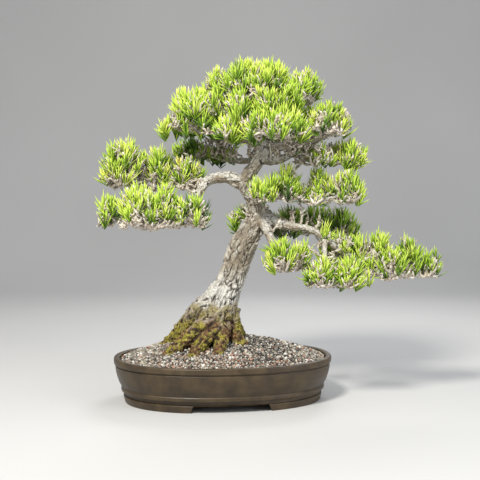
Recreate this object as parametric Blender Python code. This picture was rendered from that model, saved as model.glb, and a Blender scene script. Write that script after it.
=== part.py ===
"""A pine bonsai in an oval stoneware pot.

The pot's long side lies along X and it stands on z = 0. The tree is laid out in its own frame, whose
origin is the middle of the pot at the level of the table, with its viewing side towards -Y. That frame
is turned a little against the pot. Lengths in the tables below are millimetres.
"""

import math

import bmesh
import bpy
from mathutils import Matrix, Vector

MM = 0.001

# Driving dimensions of the pot
POT_HALF_LENGTH = 185.0
POT_HALF_WIDTH = 133.0
POT_HEIGHT = 74.0
FOOT_HEIGHT = 11.0
FLOOR_THICKNESS = 10.0
OVAL_POWER = 2.2
POT_SIDES = 36

# The feet: one ring, cut through at the front and at the back
NOTCH_HALF_TOP = 61.0
NOTCH_HALF_BOTTOM = 67.0
NOTCH_RELIEF = 0.4
NOTCH_INNER = 80.0

# How far a cutter runs past what it cuts
CUT_MARGIN = 3.0

# Holes in the floor, the netting over the drain holes and the wires through the others
DRAIN_X = 80.0
DRAIN_RADIUS = 12.0
WIRE_HOLES = ((-128.0, 12.0), (52.0, 40.0))
WIRE_HOLE_RADIUS = 2.5
SCREEN_CELLS = 7
SCREEN_CELL = 5.0
SCREEN_THICKNESS = 1.0
CLIP_RADIUS = 0.5
CLIP_BEND = 1.5
CLIP_FOOT = 12.0
ANCHOR_RADIUS = 0.8
ANCHOR_BEND = 4.0
ANCHOR_FOOT = 20.0
ANCHOR_TOP = 62.0

# The growing mix and the dressing of gravel on it
GAP = 0.3
WALL_GAP = 0.4
WALL_INSET = 10.0
SOIL_EDGE = 66.0
SURFACE_EDGE = 71.0
SURFACE_RISE = 32.0
SURFACE_TILT = 0.12
MOUND_RINGS = (1.0, 0.82, 0.6, 0.38, 0.18)

# The tree
TREE_TURN = math.radians(-8.0)
TRUNK_VOXEL = 2.4
TRUNK_TRIANGLES = 900
TRUNK_SIDES = 12
MAIN_SIDES = 7
SIDE_SIDES = 5
DOME_UNDERSIDE = 0.3
DOME_FINE = 3
DOME_COARSE = 2
PAD_VOXEL = 3.0
PAD_TRIANGLES = 50
PAD_TRIANGLES_PER_DOME = 26
TRUNK_GAP = 0.6
WOOD_GAP = 0.5
FOLIAGE_GAP = 4.5

# Pot profile, as (inset from the rim's outline, height), from the middle of the floor outwards, over the
# rim, down the outside, under the foot and back to the middle of the underside
FLOOR_Z = FOOT_HEIGHT + FLOOR_THICKNESS
POT_PROFILE = (
    (38.0, FLOOR_Z),
    (26.0, FLOOR_Z + 3.0),
    (17.0, 36.0),
    (12.0, 54.0),
    (WALL_INSET, SOIL_EDGE),
    (9.5, 72.5),
    (8.0, POT_HEIGHT),
    (1.5, POT_HEIGHT),
    (0.0, 72.5),
    (0.0, 65.0),
    (1.0, 64.0),
    (3.4, 63.4),
    (3.4, 62.2),
    (2.2, 61.4),
    (3.0, 53.0),
    (5.0, 44.0),
    (8.4, 34.0),
    (13.4, 26.0),
    (12.0, 25.0),
    (12.0, 19.6),
    (13.4, 18.6),
    (19.0, 17.6),
    (19.0, 12.4),
    (16.0, 11.2),
    (18.3, 0.0),
    (33.0, 0.0),
    (36.0, FOOT_HEIGHT),
)

# Trunk and surface roots: (x, y, z, radius) along each
TRUNK_LINE = (
    (-30, -5, 60, 34), (-28, -5, 90, 37), (-20, -5, 120, 35), (-8, -4, 150, 33), (-2, -3, 171, 30),
    (6, -2, 188, 26), (14, -1, 205, 24), (20, 1, 222, 23.5), (25, 3, 238, 23.5), (31, 6, 254, 24),
    (41, 9, 273, 23), (51, 11, 291, 20), (57, 12, 310, 17.5), (56, 10, 331, 17), (47, 6, 348, 15),
    (38, 3, 362, 13.5), (40, -1, 378, 12), (54, -4, 394, 11.5), (66, -6, 415, 11.5), (69, -6, 438, 10),
    (63, -4, 465, 8), (58, -2, 492, 6.5), (56, 0, 515, 5), (55, 2, 536, 3.2),
)
ROOT_LINES = (
    ((-2, 0, 178, 26), (-12, 0, 164, 26), (-36, 2, 151, 22), (-54, 4, 130, 18), (-74, 6, 110, 14),
     (-92, 7, 95, 10), (-112, 9, 80, 6)),
    ((-4, -18, 152, 16), (-30, -33, 130, 14), (-56, -44, 110, 12), (-80, -50, 92, 9), (-98, -58, 76, 5)),
    ((-4, -20, 132, 16), (-24, -40, 112, 15), (-40, -54, 96, 12), (-50, -70, 80, 7)),
    ((4, -20, 128, 13), (-2, -40, 108, 12), (-6, -56, 92, 9), (-4, -72, 76, 5)),
    ((14, -2, 152, 15), (15, -8, 130, 14), (19, -13, 112, 13), (28, -18, 98, 10), (46, -26, 82, 6)),
    ((10, 10, 140, 16), (20, 27, 114, 13), (32, 42, 98, 9), (48, 56, 82, 5)),
    ((-8, 14, 142, 18), (-14, 40, 114, 14), (-18, 58, 97, 9), (-20, 74, 82, 5)),
    ((-20, 10, 142, 18), (-46, 30, 117, 15), (-70, 43, 99, 10), (-92, 54, 82, 5)),
)

# Each branch is a list of limbs, the first one starting in the trunk and the others on the branch
BRANCHES = {
    "left_branch": (
        ((40, 3, 362, 13), (20, 4, 372, 12.5), (5, 5, 376, 11), (-15, 6, 374, 9.5), (-34, 6, 368, 8),
         (-57, 18, 369, 6.5), (-100, 28, 372, 5), (-140, 32, 373, 4), (-184, 28, 378, 2.4)),
        ((-28, 5, 369, 8), (-42, -12, 347, 7.2), (-58, -28, 320, 6.5), (-85, -40, 306, 5.8),
         (-119, -47, 303, 5), (-160, -50, 305, 4), (-194, -48, 314, 2.4)),
        ((-57, 18, 369, 5), (-54, 38, 372, 3.8), (-68, 58, 376, 2.4)),
        ((-110, 29, 372, 4.4), (-128, 46, 375, 3.2), (-160, 52, 379, 2.2)),
        ((-78, -38, 308, 4.6), (-62, -46, 305, 3.4), (-40, -46, 308, 2.2)),
        ((-112, -46, 303, 4.6), (-116, -64, 303, 3.4), (-134, -82, 306, 2.2)),
    ),
    "right_middle_branch": (
        ((56, 8, 335, 12), (76, 0, 342, 8.5), (96, -8, 345, 6.5), (120, -15, 345, 5.5),
         (138, -20, 336, 5), (161, -22, 333, 4.5), (184, -22, 341, 4), (222, -18, 347, 2.4)),
        ((80, -2, 343, 5), (68, -24, 344, 3.6), (54, -38, 348, 2.2)),
        ((161, -22, 333, 4), (164, -6, 342, 3), (158, 6, 351, 2.2)),
    ),
    "right_back_branch": (
        ((58, 12, 322, 11), (76, 32, 314, 8), (96, 50, 303, 6.5), (126, 62, 291, 5.2),
         (165, 74, 285, 4.4), (210, 70, 286, 2.4)),
        ((140, 66, 288, 4.4), (142, 86, 287, 3), (160, 98, 289, 2.2)),
    ),
    "right_low_branch": (
        ((56, 11, 308, 15), (75, 3, 303, 12), (92, -3, 297, 10), (115, -8, 293, 7.6),
         (146, -14, 288, 6.5), (171, -20, 273, 6), (200, -24, 250, 5.4), (235, -25, 230, 5),
         (275, -22, 218, 4.2), (315, -18, 215, 3.4), (352, -15, 218, 2.2)),
        ((60, 6, 303, 12), (69, -5, 297, 10), (76, -20, 282, 8), (84, -32, 262, 6.6),
         (95, -42, 240, 5.4), (112, -50, 229, 4), (134, -42, 229, 2.4)),
        ((171, -20, 272, 5.4), (168, -45, 245, 4.6), (170, -68, 215, 4.2), (188, -78, 205, 3.4),
         (216, -76, 206, 2.2)),
        ((169, -66, 217, 4), (156, -82, 206, 3), (140, -88, 206, 2.2)),
        ((240, -25, 228, 4.6), (256, -40, 219, 3.2), (284, -50, 217, 2.2)),
        ((256, -24, 222, 4.4), (272, -4, 219, 3.2), (296, 12, 221, 2.2)),
        ((200, -24, 250, 4.4), (206, -4, 244, 3.2), (200, 16, 245, 2.2)),
    ),
    "crown_left_branch": (
        ((66, -6, 424, 9.5), (45, -8, 436, 8), (20, -10, 444, 7), (0, -12, 449, 6.2),
         (-22, -10, 452, 5.6), (-52, -8, 453, 4.8), (-88, -8, 463, 2.4)),
        ((24, -10, 443, 5.5), (14, -28, 445, 4), (4, -50, 448, 2.2)),
    ),
    "crown_upper_left_branch": (
        ((60, -3, 474, 7), (38, 4, 485, 5.6), (14, 8, 492, 5), (-10, 8, 491, 4.4), (-40, 5, 487, 3.6),
         (-72, 0, 487, 2.2)),
        ((-6, 8, 491, 4), (-20, 28, 492, 3), (-42, 42, 493, 2.2)),
        ((-6, 8, 491, 4), (-22, -16, 488, 3), (-38, -36, 487, 2.2)),
    ),
    "crown_lower_right_branch": (
        ((64, -5, 407, 9.5), (85, -2, 403, 8), (103, 1, 408, 7), (120, 2, 415, 6.2),
         (138, 1, 408, 5.2), (160, -2, 402, 4.6), (190, -4, 402, 3.8), (236, -8, 407, 2.2)),
        ((152, -1, 403, 4.4), (156, -14, 401, 3.2), (170, -26, 404, 2.2)),
        ((184, -4, 402, 4), (192, 10, 403, 3), (210, 22, 406, 2.2)),
    ),
    "crown_right_branch": (
        ((68, -6, 434, 9), (95, -9, 429, 7), (120, -12, 430, 6.2), (145, -15, 436, 5.6),
         (165, -15, 443, 5), (190, -13, 454, 3.6), (212, -12, 461, 2.2)),
        ((150, -15, 438, 4.6), (158, -34, 449, 3.2), (168, -50, 459, 2.2)),
        ((160, -15, 441, 4.6), (172, 4, 451, 3.2), (182, 26, 461, 2.2)),
    ),
    "crown_front_branch": (
        ((67, -8, 442, 8), (62, -30, 442, 6.4), (60, -55, 443, 5), (56, -84, 448, 2.4)),
        ((62, -36, 442, 5.4), (84, -62, 443, 4.2), (118, -70, 449, 2.2)),
        ((84, -62, 443, 4), (88, -80, 443, 3), (90, -100, 445, 2.2)),
    ),
    "crown_upper_front_branch": (
        ((58, -1, 499, 5), (54, -16, 500, 3.8), (40, -28, 499, 3), (20, -34, 499, 2.2)),
        ((54, -16, 500, 3.6), (66, -30, 498, 3), (82, -40, 498, 2.2)),
    ),
    "crown_upper_right_branch": (
        ((57, -1, 494, 6), (80, 0, 503, 5), (105, 0, 509, 4.4), (130, 2, 514, 3.4), (152, 6, 521, 2.2)),
        ((110, 0, 510, 4), (118, -16, 511, 3), (128, -32, 513, 2.2)),
        ((110, 0, 510, 4), (120, 22, 514, 3), (134, 44, 519, 2.2)),
    ),
    "crown_back_branch": (
        ((68, -4, 444, 8), (66, 20, 444, 6.6), (68, 50, 447, 5.4), (74, 92, 462, 2.6)),
        ((67, 36, 445, 5.2), (36, 58, 445, 4), (0, 74, 453, 2.4)),
        ((68, 48, 447, 5), (104, 66, 445, 4), (146, 76, 449, 2.4)),
    ),
    "back_left_branch": (
        ((64, -4, 404, 8), (46, 24, 404, 6.2), (20, 50, 406, 5.2), (-8, 72, 410, 4.2),
         (-36, 72, 415, 3.2), (-68, 62, 421, 2.2)),
        ((0, 66, 409, 4.2), (-6, 86, 412, 3.2), (-24, 98, 416, 2.2)),
    ),
    "back_shoot": (
        ((54, 12, 322, 5), (44, 28, 310, 3.4), (34, 36, 303, 2.6), (24, 38, 301, 2)),
    ),
}

# Each foliage pad is a heap of domes: (x, y, underside z, half-width in x, in y, height)
FOLIAGE = {
    "left_upper_foliage": (
        (-171, 20, 382, 46, 28, 68), (-174, 50, 380, 36, 24, 58), (-113, 35, 379, 32, 34, 58),
        (-62, 20, 368, 36, 30, 55), (-77, 55, 372, 34, 26, 50), (-140, 42, 380, 34, 28, 50),
    ),
    "left_lower_foliage": (
        (-188, -45, 309, 24, 26, 44), (-140, -50, 312, 38, 34, 60), (-128, -78, 305, 34, 24, 56),
        (-94, -32, 310, 28, 30, 62), (-45, -42, 307, 30, 28, 47), (-100, -70, 305, 28, 24, 50),
        (-72, -46, 306, 28, 26, 46),
    ),
    "right_middle_inner_foliage": (
        (60, -38, 347, 23, 24, 38), (107, -22, 349, 27, 30, 56), (84, -30, 348, 22, 22, 42),
    ),
    "right_middle_outer_foliage": (
        (160, -6, 352, 23, 24, 50), (154, -30, 338, 17, 18, 36), (209, -20, 347, 30, 28, 50),
        (182, -14, 346, 22, 22, 42),
    ),
    "right_back_foliage": (
        (115, 64, 294, 38, 28, 40), (168, 85, 288, 32, 28, 46), (205, 66, 289, 38, 28, 43),
        (156, 62, 290, 30, 24, 40),
    ),
    "right_low_inner_foliage": ((99, -52, 232, 29, 25, 52), (128, -34, 233, 24, 26, 46)),
    "right_low_front_foliage": (
        (158, -86, 207, 28, 26, 46), (208, -76, 208, 31, 28, 46), (184, -58, 207, 30, 24, 43),
    ),
    "right_low_outer_foliage": (
        (198, 12, 247, 38, 26, 44), (226, -8, 234, 26, 30, 52), (262, -15, 224, 35, 34, 66),
        (315, -6, 222, 32, 32, 63), (346, -14, 219, 25, 26, 42), (280, -42, 219, 34, 25, 48),
    ),
    "crown_top_foliage": (
        (-6, 4, 534, 24, 28, 36), (34, 0, 536, 30, 33, 46), (82, -4, 540, 31, 31, 42),
        (55, 38, 536, 36, 30, 45), (52, -18, 534, 32, 28, 44),
    ),
    "crown_upper_left_foliage": (
        (-60, -4, 488, 31, 29, 48), (-27, 10, 495, 30, 31, 43), (-45, 38, 492, 30, 27, 42),
        (-42, -36, 487, 24, 24, 40),
    ),
    "crown_left_foliage": ((-86, -10, 462, 24, 20, 26), (-62, 2, 461, 26, 24, 24)),
    "crown_left_front_foliage": ((8, -48, 450, 27, 26, 35), (22, -34, 450, 20, 20, 30)),
    "crown_upper_front_left_foliage": ((26, -34, 498, 22, 22, 31),),
    "crown_upper_front_right_foliage": ((76, -38, 497, 26, 24, 34),),
    "crown_front_foliage": (
        (58, -76, 449, 29, 26, 40), (112, -64, 451, 35, 30, 42), (88, -94, 446, 34, 24, 36),
        (84, -72, 448, 28, 26, 42),
    ),
    "crown_upper_right_foliage": (
        (141, 4, 519, 30, 32, 46), (126, -28, 511, 25, 26, 46), (131, 42, 516, 28, 28, 44),
    ),
    "crown_right_foliage": (
        (181, -14, 460, 36, 30, 50), (164, -44, 459, 28, 24, 42), (178, 26, 461, 32, 28, 50),
    ),
    "crown_lower_right_foliage": (
        (216, -10, 407, 33, 25, 41), (167, -20, 404, 28, 24, 35), (203, 20, 406, 32, 25, 36),
    ),
    "crown_back_foliage": (
        (0, 76, 454, 40, 34, 68), (73, 92, 463, 44, 34, 76), (144, 76, 450, 34, 32, 66),
        (106, 84, 462, 34, 32, 66), (34, 84, 462, 34, 32, 66),
    ),
    "back_left_foliage": ((-62, 62, 423, 30, 26, 30), (-22, 84, 416, 33, 30, 34)),
    "back_shoot_foliage": ((20, 38, 303, 16, 13, 20),),
}

MATERIALS = {
    "clay": ((0.105, 0.072, 0.048), 0.45, 0.0),
    "mesh_plastic": ((0.02, 0.02, 0.022), 0.6, 0.0),
    "wire": ((0.42, 0.24, 0.14), 0.4, 1.0),
    "soil": ((0.13, 0.085, 0.055), 0.95, 0.0),
    "gravel": ((0.46, 0.4, 0.35), 0.85, 0.0),
    "bark": ((0.36, 0.31, 0.25), 0.9, 0.0),
    "needles": ((0.34, 0.56, 0.08), 0.6, 0.0),
}


def clear_scene():
    for obj in list(bpy.data.objects):
        bpy.data.objects.remove(obj, do_unlink=True)


def material(name):
    """The named material, made on first use."""
    found = bpy.data.materials.get(name)
    if found:
        return found
    colour, roughness, metallic = MATERIALS[name]
    made = bpy.data.materials.new(name)
    made.use_nodes = True
    made.diffuse_color = (*colour, 1.0)
    shader = made.node_tree.nodes["Principled BSDF"]
    shader.inputs["Base Color"].default_value = (*colour, 1.0)
    shader.inputs["Roughness"].default_value = roughness
    shader.inputs["Metallic"].default_value = metallic
    return made


def empty(name, parent=None):
    made = bpy.data.objects.new(name, None)
    bpy.context.scene.collection.objects.link(made)
    made.parent = parent
    return made


def piece(name, bm, material_name, parent):
    """A named object from a bmesh in millimetres, which it frees."""
    bmesh.ops.scale(bm, vec=(MM, MM, MM), verts=bm.verts)
    mesh = bpy.data.meshes.new(name)
    bm.to_mesh(mesh)
    bm.free()
    mesh.materials.append(material(material_name))
    made = bpy.data.objects.new(name, mesh)
    bpy.context.scene.collection.objects.link(made)
    made.parent = parent
    return made


# Meshes


def oval(inset, z, scale=1.0):
    """A ring of points on the pot's outline, moved in by inset and then scaled about the middle."""
    length = (POT_HALF_LENGTH - inset) * scale
    width = (POT_HALF_WIDTH - inset) * scale
    points = []
    for i in range(POT_SIDES):
        angle = 2 * math.pi * i / POT_SIDES
        c, s = math.cos(angle), math.sin(angle)
        x = math.copysign(abs(c) ** (2 / OVAL_POWER), c) * length
        y = math.copysign(abs(s) ** (2 / OVAL_POWER), s) * width
        points.append((x, y, z(x, y) if callable(z) else z))
    return points


def loft(rings, first_centre, last_centre):
    """Joins rings of points into one closed skin, with a fan of faces to a centre point at each end.

    Every quad is split the same way, so that two skins with the same rings in the same order stay apart.
    """
    bm = bmesh.new()
    made = [[bm.verts.new(p) for p in ring] for ring in rings]
    count = len(made[0])
    for one, two in zip(made, made[1:]):
        for i in range(count):
            j = (i + 1) % count
            bm.faces.new((one[i], one[j], two[j]))
            bm.faces.new((one[i], two[j], two[i]))
    for ring, centre in ((made[0], first_centre), (made[-1], last_centre)):
        hub = bm.verts.new(centre)
        for i in range(count):
            bm.faces.new((ring[i], ring[(i + 1) % count], hub))
    bmesh.ops.recalc_face_normals(bm, faces=bm.faces)
    return bm


def smooth_line(points, steps):
    """Points with any number of coordinates, on a Catmull-Rom curve through the given ones."""
    line = []
    padded = (points[0], *points, points[-1])
    for a, b, c, d in zip(padded, padded[1:], padded[2:], padded[3:]):
        for i in range(steps):
            t = i / steps
            line.append(
                tuple(
                    0.5 * (2 * q + (r - p) * t + (2 * p - 5 * q + 4 * r - s) * t**2
                           + (3 * q - p - 3 * r + s) * t**3)
                    for p, q, r, s in zip(a, b, c, d)
                )
            )
    line.append(tuple(points[-1]))
    return line


def add_tube(bm, line, sides):
    """A closed tube along (x, y, z, radius) points, whose rings turn as little as they can."""
    places = [Vector(p[:3]) for p in line]
    across = None
    rings = []
    for i, place in enumerate(places):
        ahead = places[min(i + 1, len(places) - 1)] - places[max(i - 1, 0)]
        ahead.normalize()
        if across is None:
            across = ahead.orthogonal()
        across = (across - ahead * across.dot(ahead)).normalized()
        side = ahead.cross(across)
        ring = []
        for k in range(sides):
            angle = 2 * math.pi * k / sides
            offset = (across * math.cos(angle) + side * math.sin(angle)) * line[i][3]
            ring.append(bm.verts.new(place + offset))
        rings.append(ring)
    for one, two in zip(rings, rings[1:]):
        for k in range(sides):
            j = (k + 1) % sides
            bm.faces.new((one[k], one[j], two[j], two[k]))
    bm.faces.new(reversed(rings[0]))
    bm.faces.new(rings[-1])


def add_dome(bm, dome, fineness, extra):
    """A rounded heap, larger by extra: the upper half of an ellipsoid on a shallower lower half."""
    x, y, z, half_x, half_y, height = dome
    for vert in bmesh.ops.create_icosphere(bm, subdivisions=fineness, radius=1.0)["verts"]:
        tall = height if vert.co.z > 0 else height * DOME_UNDERSIDE
        size = (half_x + extra, half_y + extra, tall + extra)
        vert.co = Vector((x, y, z)) + Vector([c * half for c, half in zip(vert.co, size)])


def triangles(obj):
    bpy.context.view_layer.update()
    mesh = obj.evaluated_get(bpy.context.evaluated_depsgraph_get()).to_mesh()
    mesh.calc_loop_triangles()
    return len(mesh.loop_triangles)


def settle(obj):
    """Gives the object its evaluated mesh for its own, with loose crumbs left out."""
    bpy.context.view_layer.update()
    graph = bpy.context.evaluated_depsgraph_get()
    mesh = bpy.data.meshes.new_from_object(obj.evaluated_get(graph))
    obj.modifiers.clear()
    obj.data = mesh
    bm = bmesh.new()
    bm.from_mesh(mesh)
    shells = shells_of(bm)
    largest = max(shells, key=len)
    for shell in shells:
        if shell is not largest:
            bmesh.ops.delete(bm, geom=list(shell), context="VERTS")
    bm.to_mesh(mesh)
    bm.free()


def shells_of(bm):
    """The vertices of each connected shell."""
    left = set(bm.verts)
    shells = []
    while left:
        start = left.pop()
        shell = {start}
        front = [start]
        while front:
            vert = front.pop()
            for edge in vert.link_edges:
                other = edge.other_vert(vert)
                if other in left:
                    left.discard(other)
                    shell.add(other)
                    front.append(other)
        shells.append(shell)
    return shells


def fuse(obj, voxel, wanted):
    """Turns overlapping closed shapes into one skin of about the wanted number of triangles."""
    remesh = obj.modifiers.new("one_skin", "REMESH")
    remesh.mode = "VOXEL"
    remesh.voxel_size = voxel * MM
    thin = obj.modifiers.new("fewer_faces", "DECIMATE")
    thin.ratio = 1.0
    thin.ratio = min(1.0, wanted / triangles(obj))
    settle(obj)


def grown(obj, by):
    """A cutter: the object with its surface moved out, to leave a gap round it."""
    made = bpy.data.objects.new(obj.name + "_room", obj.data.copy())
    bpy.context.scene.collection.objects.link(made)
    made.parent = obj.parent
    made.hide_render = True
    made.display_type = "WIRE"
    bm = bmesh.new()
    bm.from_mesh(made.data)
    bm.normal_update()
    moves = [vert.normal * by * MM * min(vert.calc_shell_factor(), 2.0) for vert in bm.verts]
    for vert, move in zip(bm.verts, moves):
        vert.co += move
    bm.to_mesh(made.data)
    bm.free()
    return made


def near(one, two):
    """True if the world boxes of two objects meet."""
    bpy.context.view_layer.update()
    boxes = []
    for obj in (one, two):
        corners = [obj.matrix_world @ Vector(corner) for corner in obj.bound_box]
        boxes.append([(min(c[k] for c in corners), max(c[k] for c in corners)) for k in range(3)])
    return all(a[0] < b[1] and b[0] < a[1] for a, b in zip(*boxes))


def carve(obj, cutters):
    """Takes the cutters out of the object, one Boolean each."""
    for cutter in cutters:
        if near(obj, cutter):
            cut = obj.modifiers.new("room_for_" + cutter.name, "BOOLEAN")
            cut.object = cutter
            cut.operation = "DIFFERENCE"
            settle(obj)


def united(name, shapes, material_name, parent):
    """One object from several overlapping closed shapes."""
    made = piece(name, shapes[0], material_name, parent)
    for shape in shapes[1:]:
        more = cutter_from(name + "_more", shape, parent)
        join = made.modifiers.new("join", "BOOLEAN")
        join.object = more
        join.operation = "UNION"
        settle(made)
        bpy.data.objects.remove(more, do_unlink=True)
    return made


def cutter_from(name, bm, parent):
    made = piece(name, bm, "soil", parent)
    made.hide_render = True
    made.display_type = "WIRE"
    return made


# The pot and what is in it


def cylinder(radius, x, y, low, high, sides=20):
    bm = bmesh.new()
    turn = Matrix.Rotation(math.pi / sides, 4, "Z")
    place = Matrix.Translation((x, y, (low + high) / 2)) @ turn
    bmesh.ops.create_cone(
        bm, cap_ends=True, segments=sides, radius1=radius, radius2=radius, depth=high - low, matrix=place
    )
    return bm


def box(x, y, low, high, half_x, half_y):
    bm = bmesh.new()
    place = Matrix.Translation((x, y, (low + high) / 2))
    size = Matrix.Diagonal((2 * half_x, 2 * half_y, high - low, 1.0))
    bmesh.ops.create_cube(bm, size=1.0, matrix=place @ size)
    return bm


def notch(side):
    """A wedge that opens the foot ring at the front (side -1) or the back (side 1)."""
    low, high = -CUT_MARGIN, FOOT_HEIGHT + NOTCH_RELIEF
    near_y, far_y = side * NOTCH_INNER, side * (POT_HALF_WIDTH + CUT_MARGIN)
    bm = bmesh.new()
    ends = []
    for y in (near_y, far_y):
        corners = (
            (-NOTCH_HALF_BOTTOM, low), (NOTCH_HALF_BOTTOM, low),
            (NOTCH_HALF_TOP, high), (-NOTCH_HALF_TOP, high),
        )
        ends.append([bm.verts.new((x, y, z)) for x, z in corners])
    bm.faces.new(ends[0])
    bm.faces.new(ends[1])
    for i in range(4):
        j = (i + 1) % 4
        bm.faces.new((ends[0][i], ends[0][j], ends[1][j], ends[1][i]))
    bmesh.ops.recalc_face_normals(bm, faces=bm.faces)
    return bm


def make_pot(parent):
    rings = [oval(inset, z) for inset, z in POT_PROFILE]
    pot = piece("pot", loft(rings, (0, 0, FLOOR_Z), (0, 0, FOOT_HEIGHT)), "clay", parent)
    low, high = FOOT_HEIGHT - CUT_MARGIN, FLOOR_Z + CUT_MARGIN
    cutters = [cutter_from("notch_front", notch(-1), parent), cutter_from("notch_back", notch(1), parent)]
    for side in (-1, 1):
        hole = cylinder(DRAIN_RADIUS, side * DRAIN_X, 0, low, high)
        cutters.append(cutter_from("drain_hole", hole, parent))
    for x, y in WIRE_HOLES:
        hole = cylinder(WIRE_HOLE_RADIUS, x, y, low, high, 10)
        cutters.append(cutter_from("wire_hole", hole, parent))
    carve(pot, cutters)


def make_screen(name, x, parent):
    """A square of plastic netting over a drain hole: every other cell of every other row is open."""
    half = SCREEN_CELLS * SCREEN_CELL / 2
    low = FLOOR_Z + GAP
    bm = bmesh.new()
    lines = SCREEN_CELLS + 1
    corners = [
        [bm.verts.new((x - half + i * SCREEN_CELL, -half + j * SCREEN_CELL, low)) for j in range(lines)]
        for i in range(lines)
    ]
    for i in range(SCREEN_CELLS):
        for j in range(SCREEN_CELLS):
            if i % 2 and j % 2:
                continue
            bm.faces.new((corners[i][j], corners[i + 1][j], corners[i + 1][j + 1], corners[i][j + 1]))
    made = bmesh.ops.extrude_face_region(bm, geom=bm.faces[:])["geom"]
    for item in made:
        if isinstance(item, bmesh.types.BMVert):
            item.co.z += SCREEN_THICKNESS
    bmesh.ops.recalc_face_normals(bm, faces=bm.faces)
    return piece(name, bm, "mesh_plastic", parent)


def make_clip(name, x, parent):
    """A staple of wire: over the netting, down two of its openings and out under the floor."""
    top = FLOOR_Z + GAP + SCREEN_THICKNESS + GAP + CLIP_RADIUS
    under = FOOT_HEIGHT - GAP - CLIP_RADIUS
    leg = 2 * SCREEN_CELL
    half = (
        (leg - CLIP_BEND, top), (leg, top - CLIP_BEND), (leg, under + CLIP_BEND), (leg + CLIP_BEND, under),
        (leg + CLIP_FOOT, under),
    )
    line = [(x - dx, 0, z, CLIP_RADIUS) for dx, z in reversed(half)]
    line += [(x + dx, 0, z, CLIP_RADIUS) for dx, z in half]
    bm = bmesh.new()
    add_tube(bm, line, 6)
    return piece(name, bm, "wire", parent)


def make_anchor_wire(parent):
    """The wire that holds the root ball down: up one hole, over the roots' back, down the other."""
    (x1, y1), (x2, y2) = WIRE_HOLES
    under = FOOT_HEIGHT - GAP - ANCHOR_RADIUS
    turn = under + ANCHOR_BEND
    route = (
        (x1 + ANCHOR_FOOT, y1, under), (x1 + WIRE_HOLE_RADIUS, y1, under), (x1, y1, turn), (x1, y1, 40),
        (x1 + 5, y1 + 18, ANCHOR_TOP - 6), (x1 + 30, 62, ANCHOR_TOP), (-30, 82, ANCHOR_TOP),
        (x2 - 24, 74, ANCHOR_TOP), (x2 - 3, y2 + 14, ANCHOR_TOP - 6), (x2, y2, 40), (x2, y2, turn),
        (x2 - WIRE_HOLE_RADIUS, y2, under), (x2 - ANCHOR_FOOT, y2, under),
    )
    line = smooth_line([(*p, ANCHOR_RADIUS) for p in route], 2)
    bm = bmesh.new()
    add_tube(bm, line, 6)
    return piece("anchor_wire", bm, "wire", parent)


def mound(edge, rise):
    """The height of the heaped surface as a function of x and y; edge is its level at the wall."""
    length, width = POT_HALF_LENGTH - WALL_INSET, POT_HALF_WIDTH - WALL_INSET

    def height(x, y):
        out = (abs(x) / length) ** 2 + (abs(y) / width) ** 2
        return edge + max(0.0, 1.0 - out) * (rise + SURFACE_TILT * y)

    return height


def make_soil(parent):
    inside = [(inset + WALL_GAP, z) for inset, z in POT_PROFILE[:5]]
    inside[0] = (inside[0][0] + 2.0, FLOOR_Z + GAP)
    inside[1] = (inside[1][0] + 0.4, inside[1][1] + GAP)
    surface = mound(SOIL_EDGE, SURFACE_RISE)
    rings = [oval(inset, z) for inset, z in inside]
    rings[-1] = oval(inside[-1][0], SOIL_EDGE)
    rings += [oval(inside[-1][0], surface, scale) for scale in MOUND_RINGS[1:]]
    bm = loft(rings, (0, 0, FLOOR_Z + GAP), (0, 0, surface(0, 0)))
    return piece("soil", bm, "soil", parent)


def make_gravel(parent):
    inset = WALL_INSET + WALL_GAP
    low, high = mound(SOIL_EDGE + GAP, SURFACE_RISE), mound(SURFACE_EDGE, SURFACE_RISE)
    rings = [oval(inset, high, scale) for scale in reversed(MOUND_RINGS)]
    rings += [oval(inset, low, scale) for scale in MOUND_RINGS]
    return piece("gravel_layer", loft(rings, (0, 0, high(0, 0)), (0, 0, low(0, 0))), "gravel", parent)


# The tree


def make_trunk(parent):
    """The trunk and its surface roots, grown together into one skin."""
    bm = bmesh.new()
    for line in (TRUNK_LINE, *ROOT_LINES):
        add_tube(bm, smooth_line(line, 4), TRUNK_SIDES)
    made = piece("trunk", bm, "bark", parent)
    fuse(made, TRUNK_VOXEL, TRUNK_TRIANGLES)
    return made


def limb_shape(limb, sides, extra):
    """A bmesh of one limb, thicker and longer by extra."""
    line = [list(p) for p in limb]
    for end, inner in ((0, 1), (-1, -2)):
        outwards = Vector(line[end][:3]) - Vector(line[inner][:3])
        line[end][:3] = Vector(line[end][:3]) + outwards.normalized() * extra
    bm = bmesh.new()
    add_tube(bm, [(x, y, z, radius + extra) for x, y, z, radius in line], sides)
    return bm


def make_branch(name, limbs, parent):
    """Returns the branch and the cutters that leave room for it."""
    shapes, rooms = [], []
    for i, limb in enumerate(limbs):
        sides = MAIN_SIDES if i == 0 else SIDE_SIDES
        shapes.append(limb_shape(limb, sides, 0.0))
        rooms.append(cutter_from(name + "_room", limb_shape(limb, sides, WOOD_GAP), parent))
    return united(name, shapes, "bark", parent), rooms


def make_pad(name, domes, parent):
    """Returns the foliage pad, one skin over its domes, and the cutters that leave room for it."""
    bm = bmesh.new()
    for dome in domes:
        add_dome(bm, dome, DOME_FINE, 0.0)
    made = piece(name, bm, "needles", parent)
    fuse(made, PAD_VOXEL, PAD_TRIANGLES + PAD_TRIANGLES_PER_DOME * len(domes))
    rooms = []
    for dome in domes:
        room = bmesh.new()
        add_dome(room, dome, DOME_COARSE, FOLIAGE_GAP)
        rooms.append(cutter_from(name + "_room", room, parent))
    return made, rooms


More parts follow.
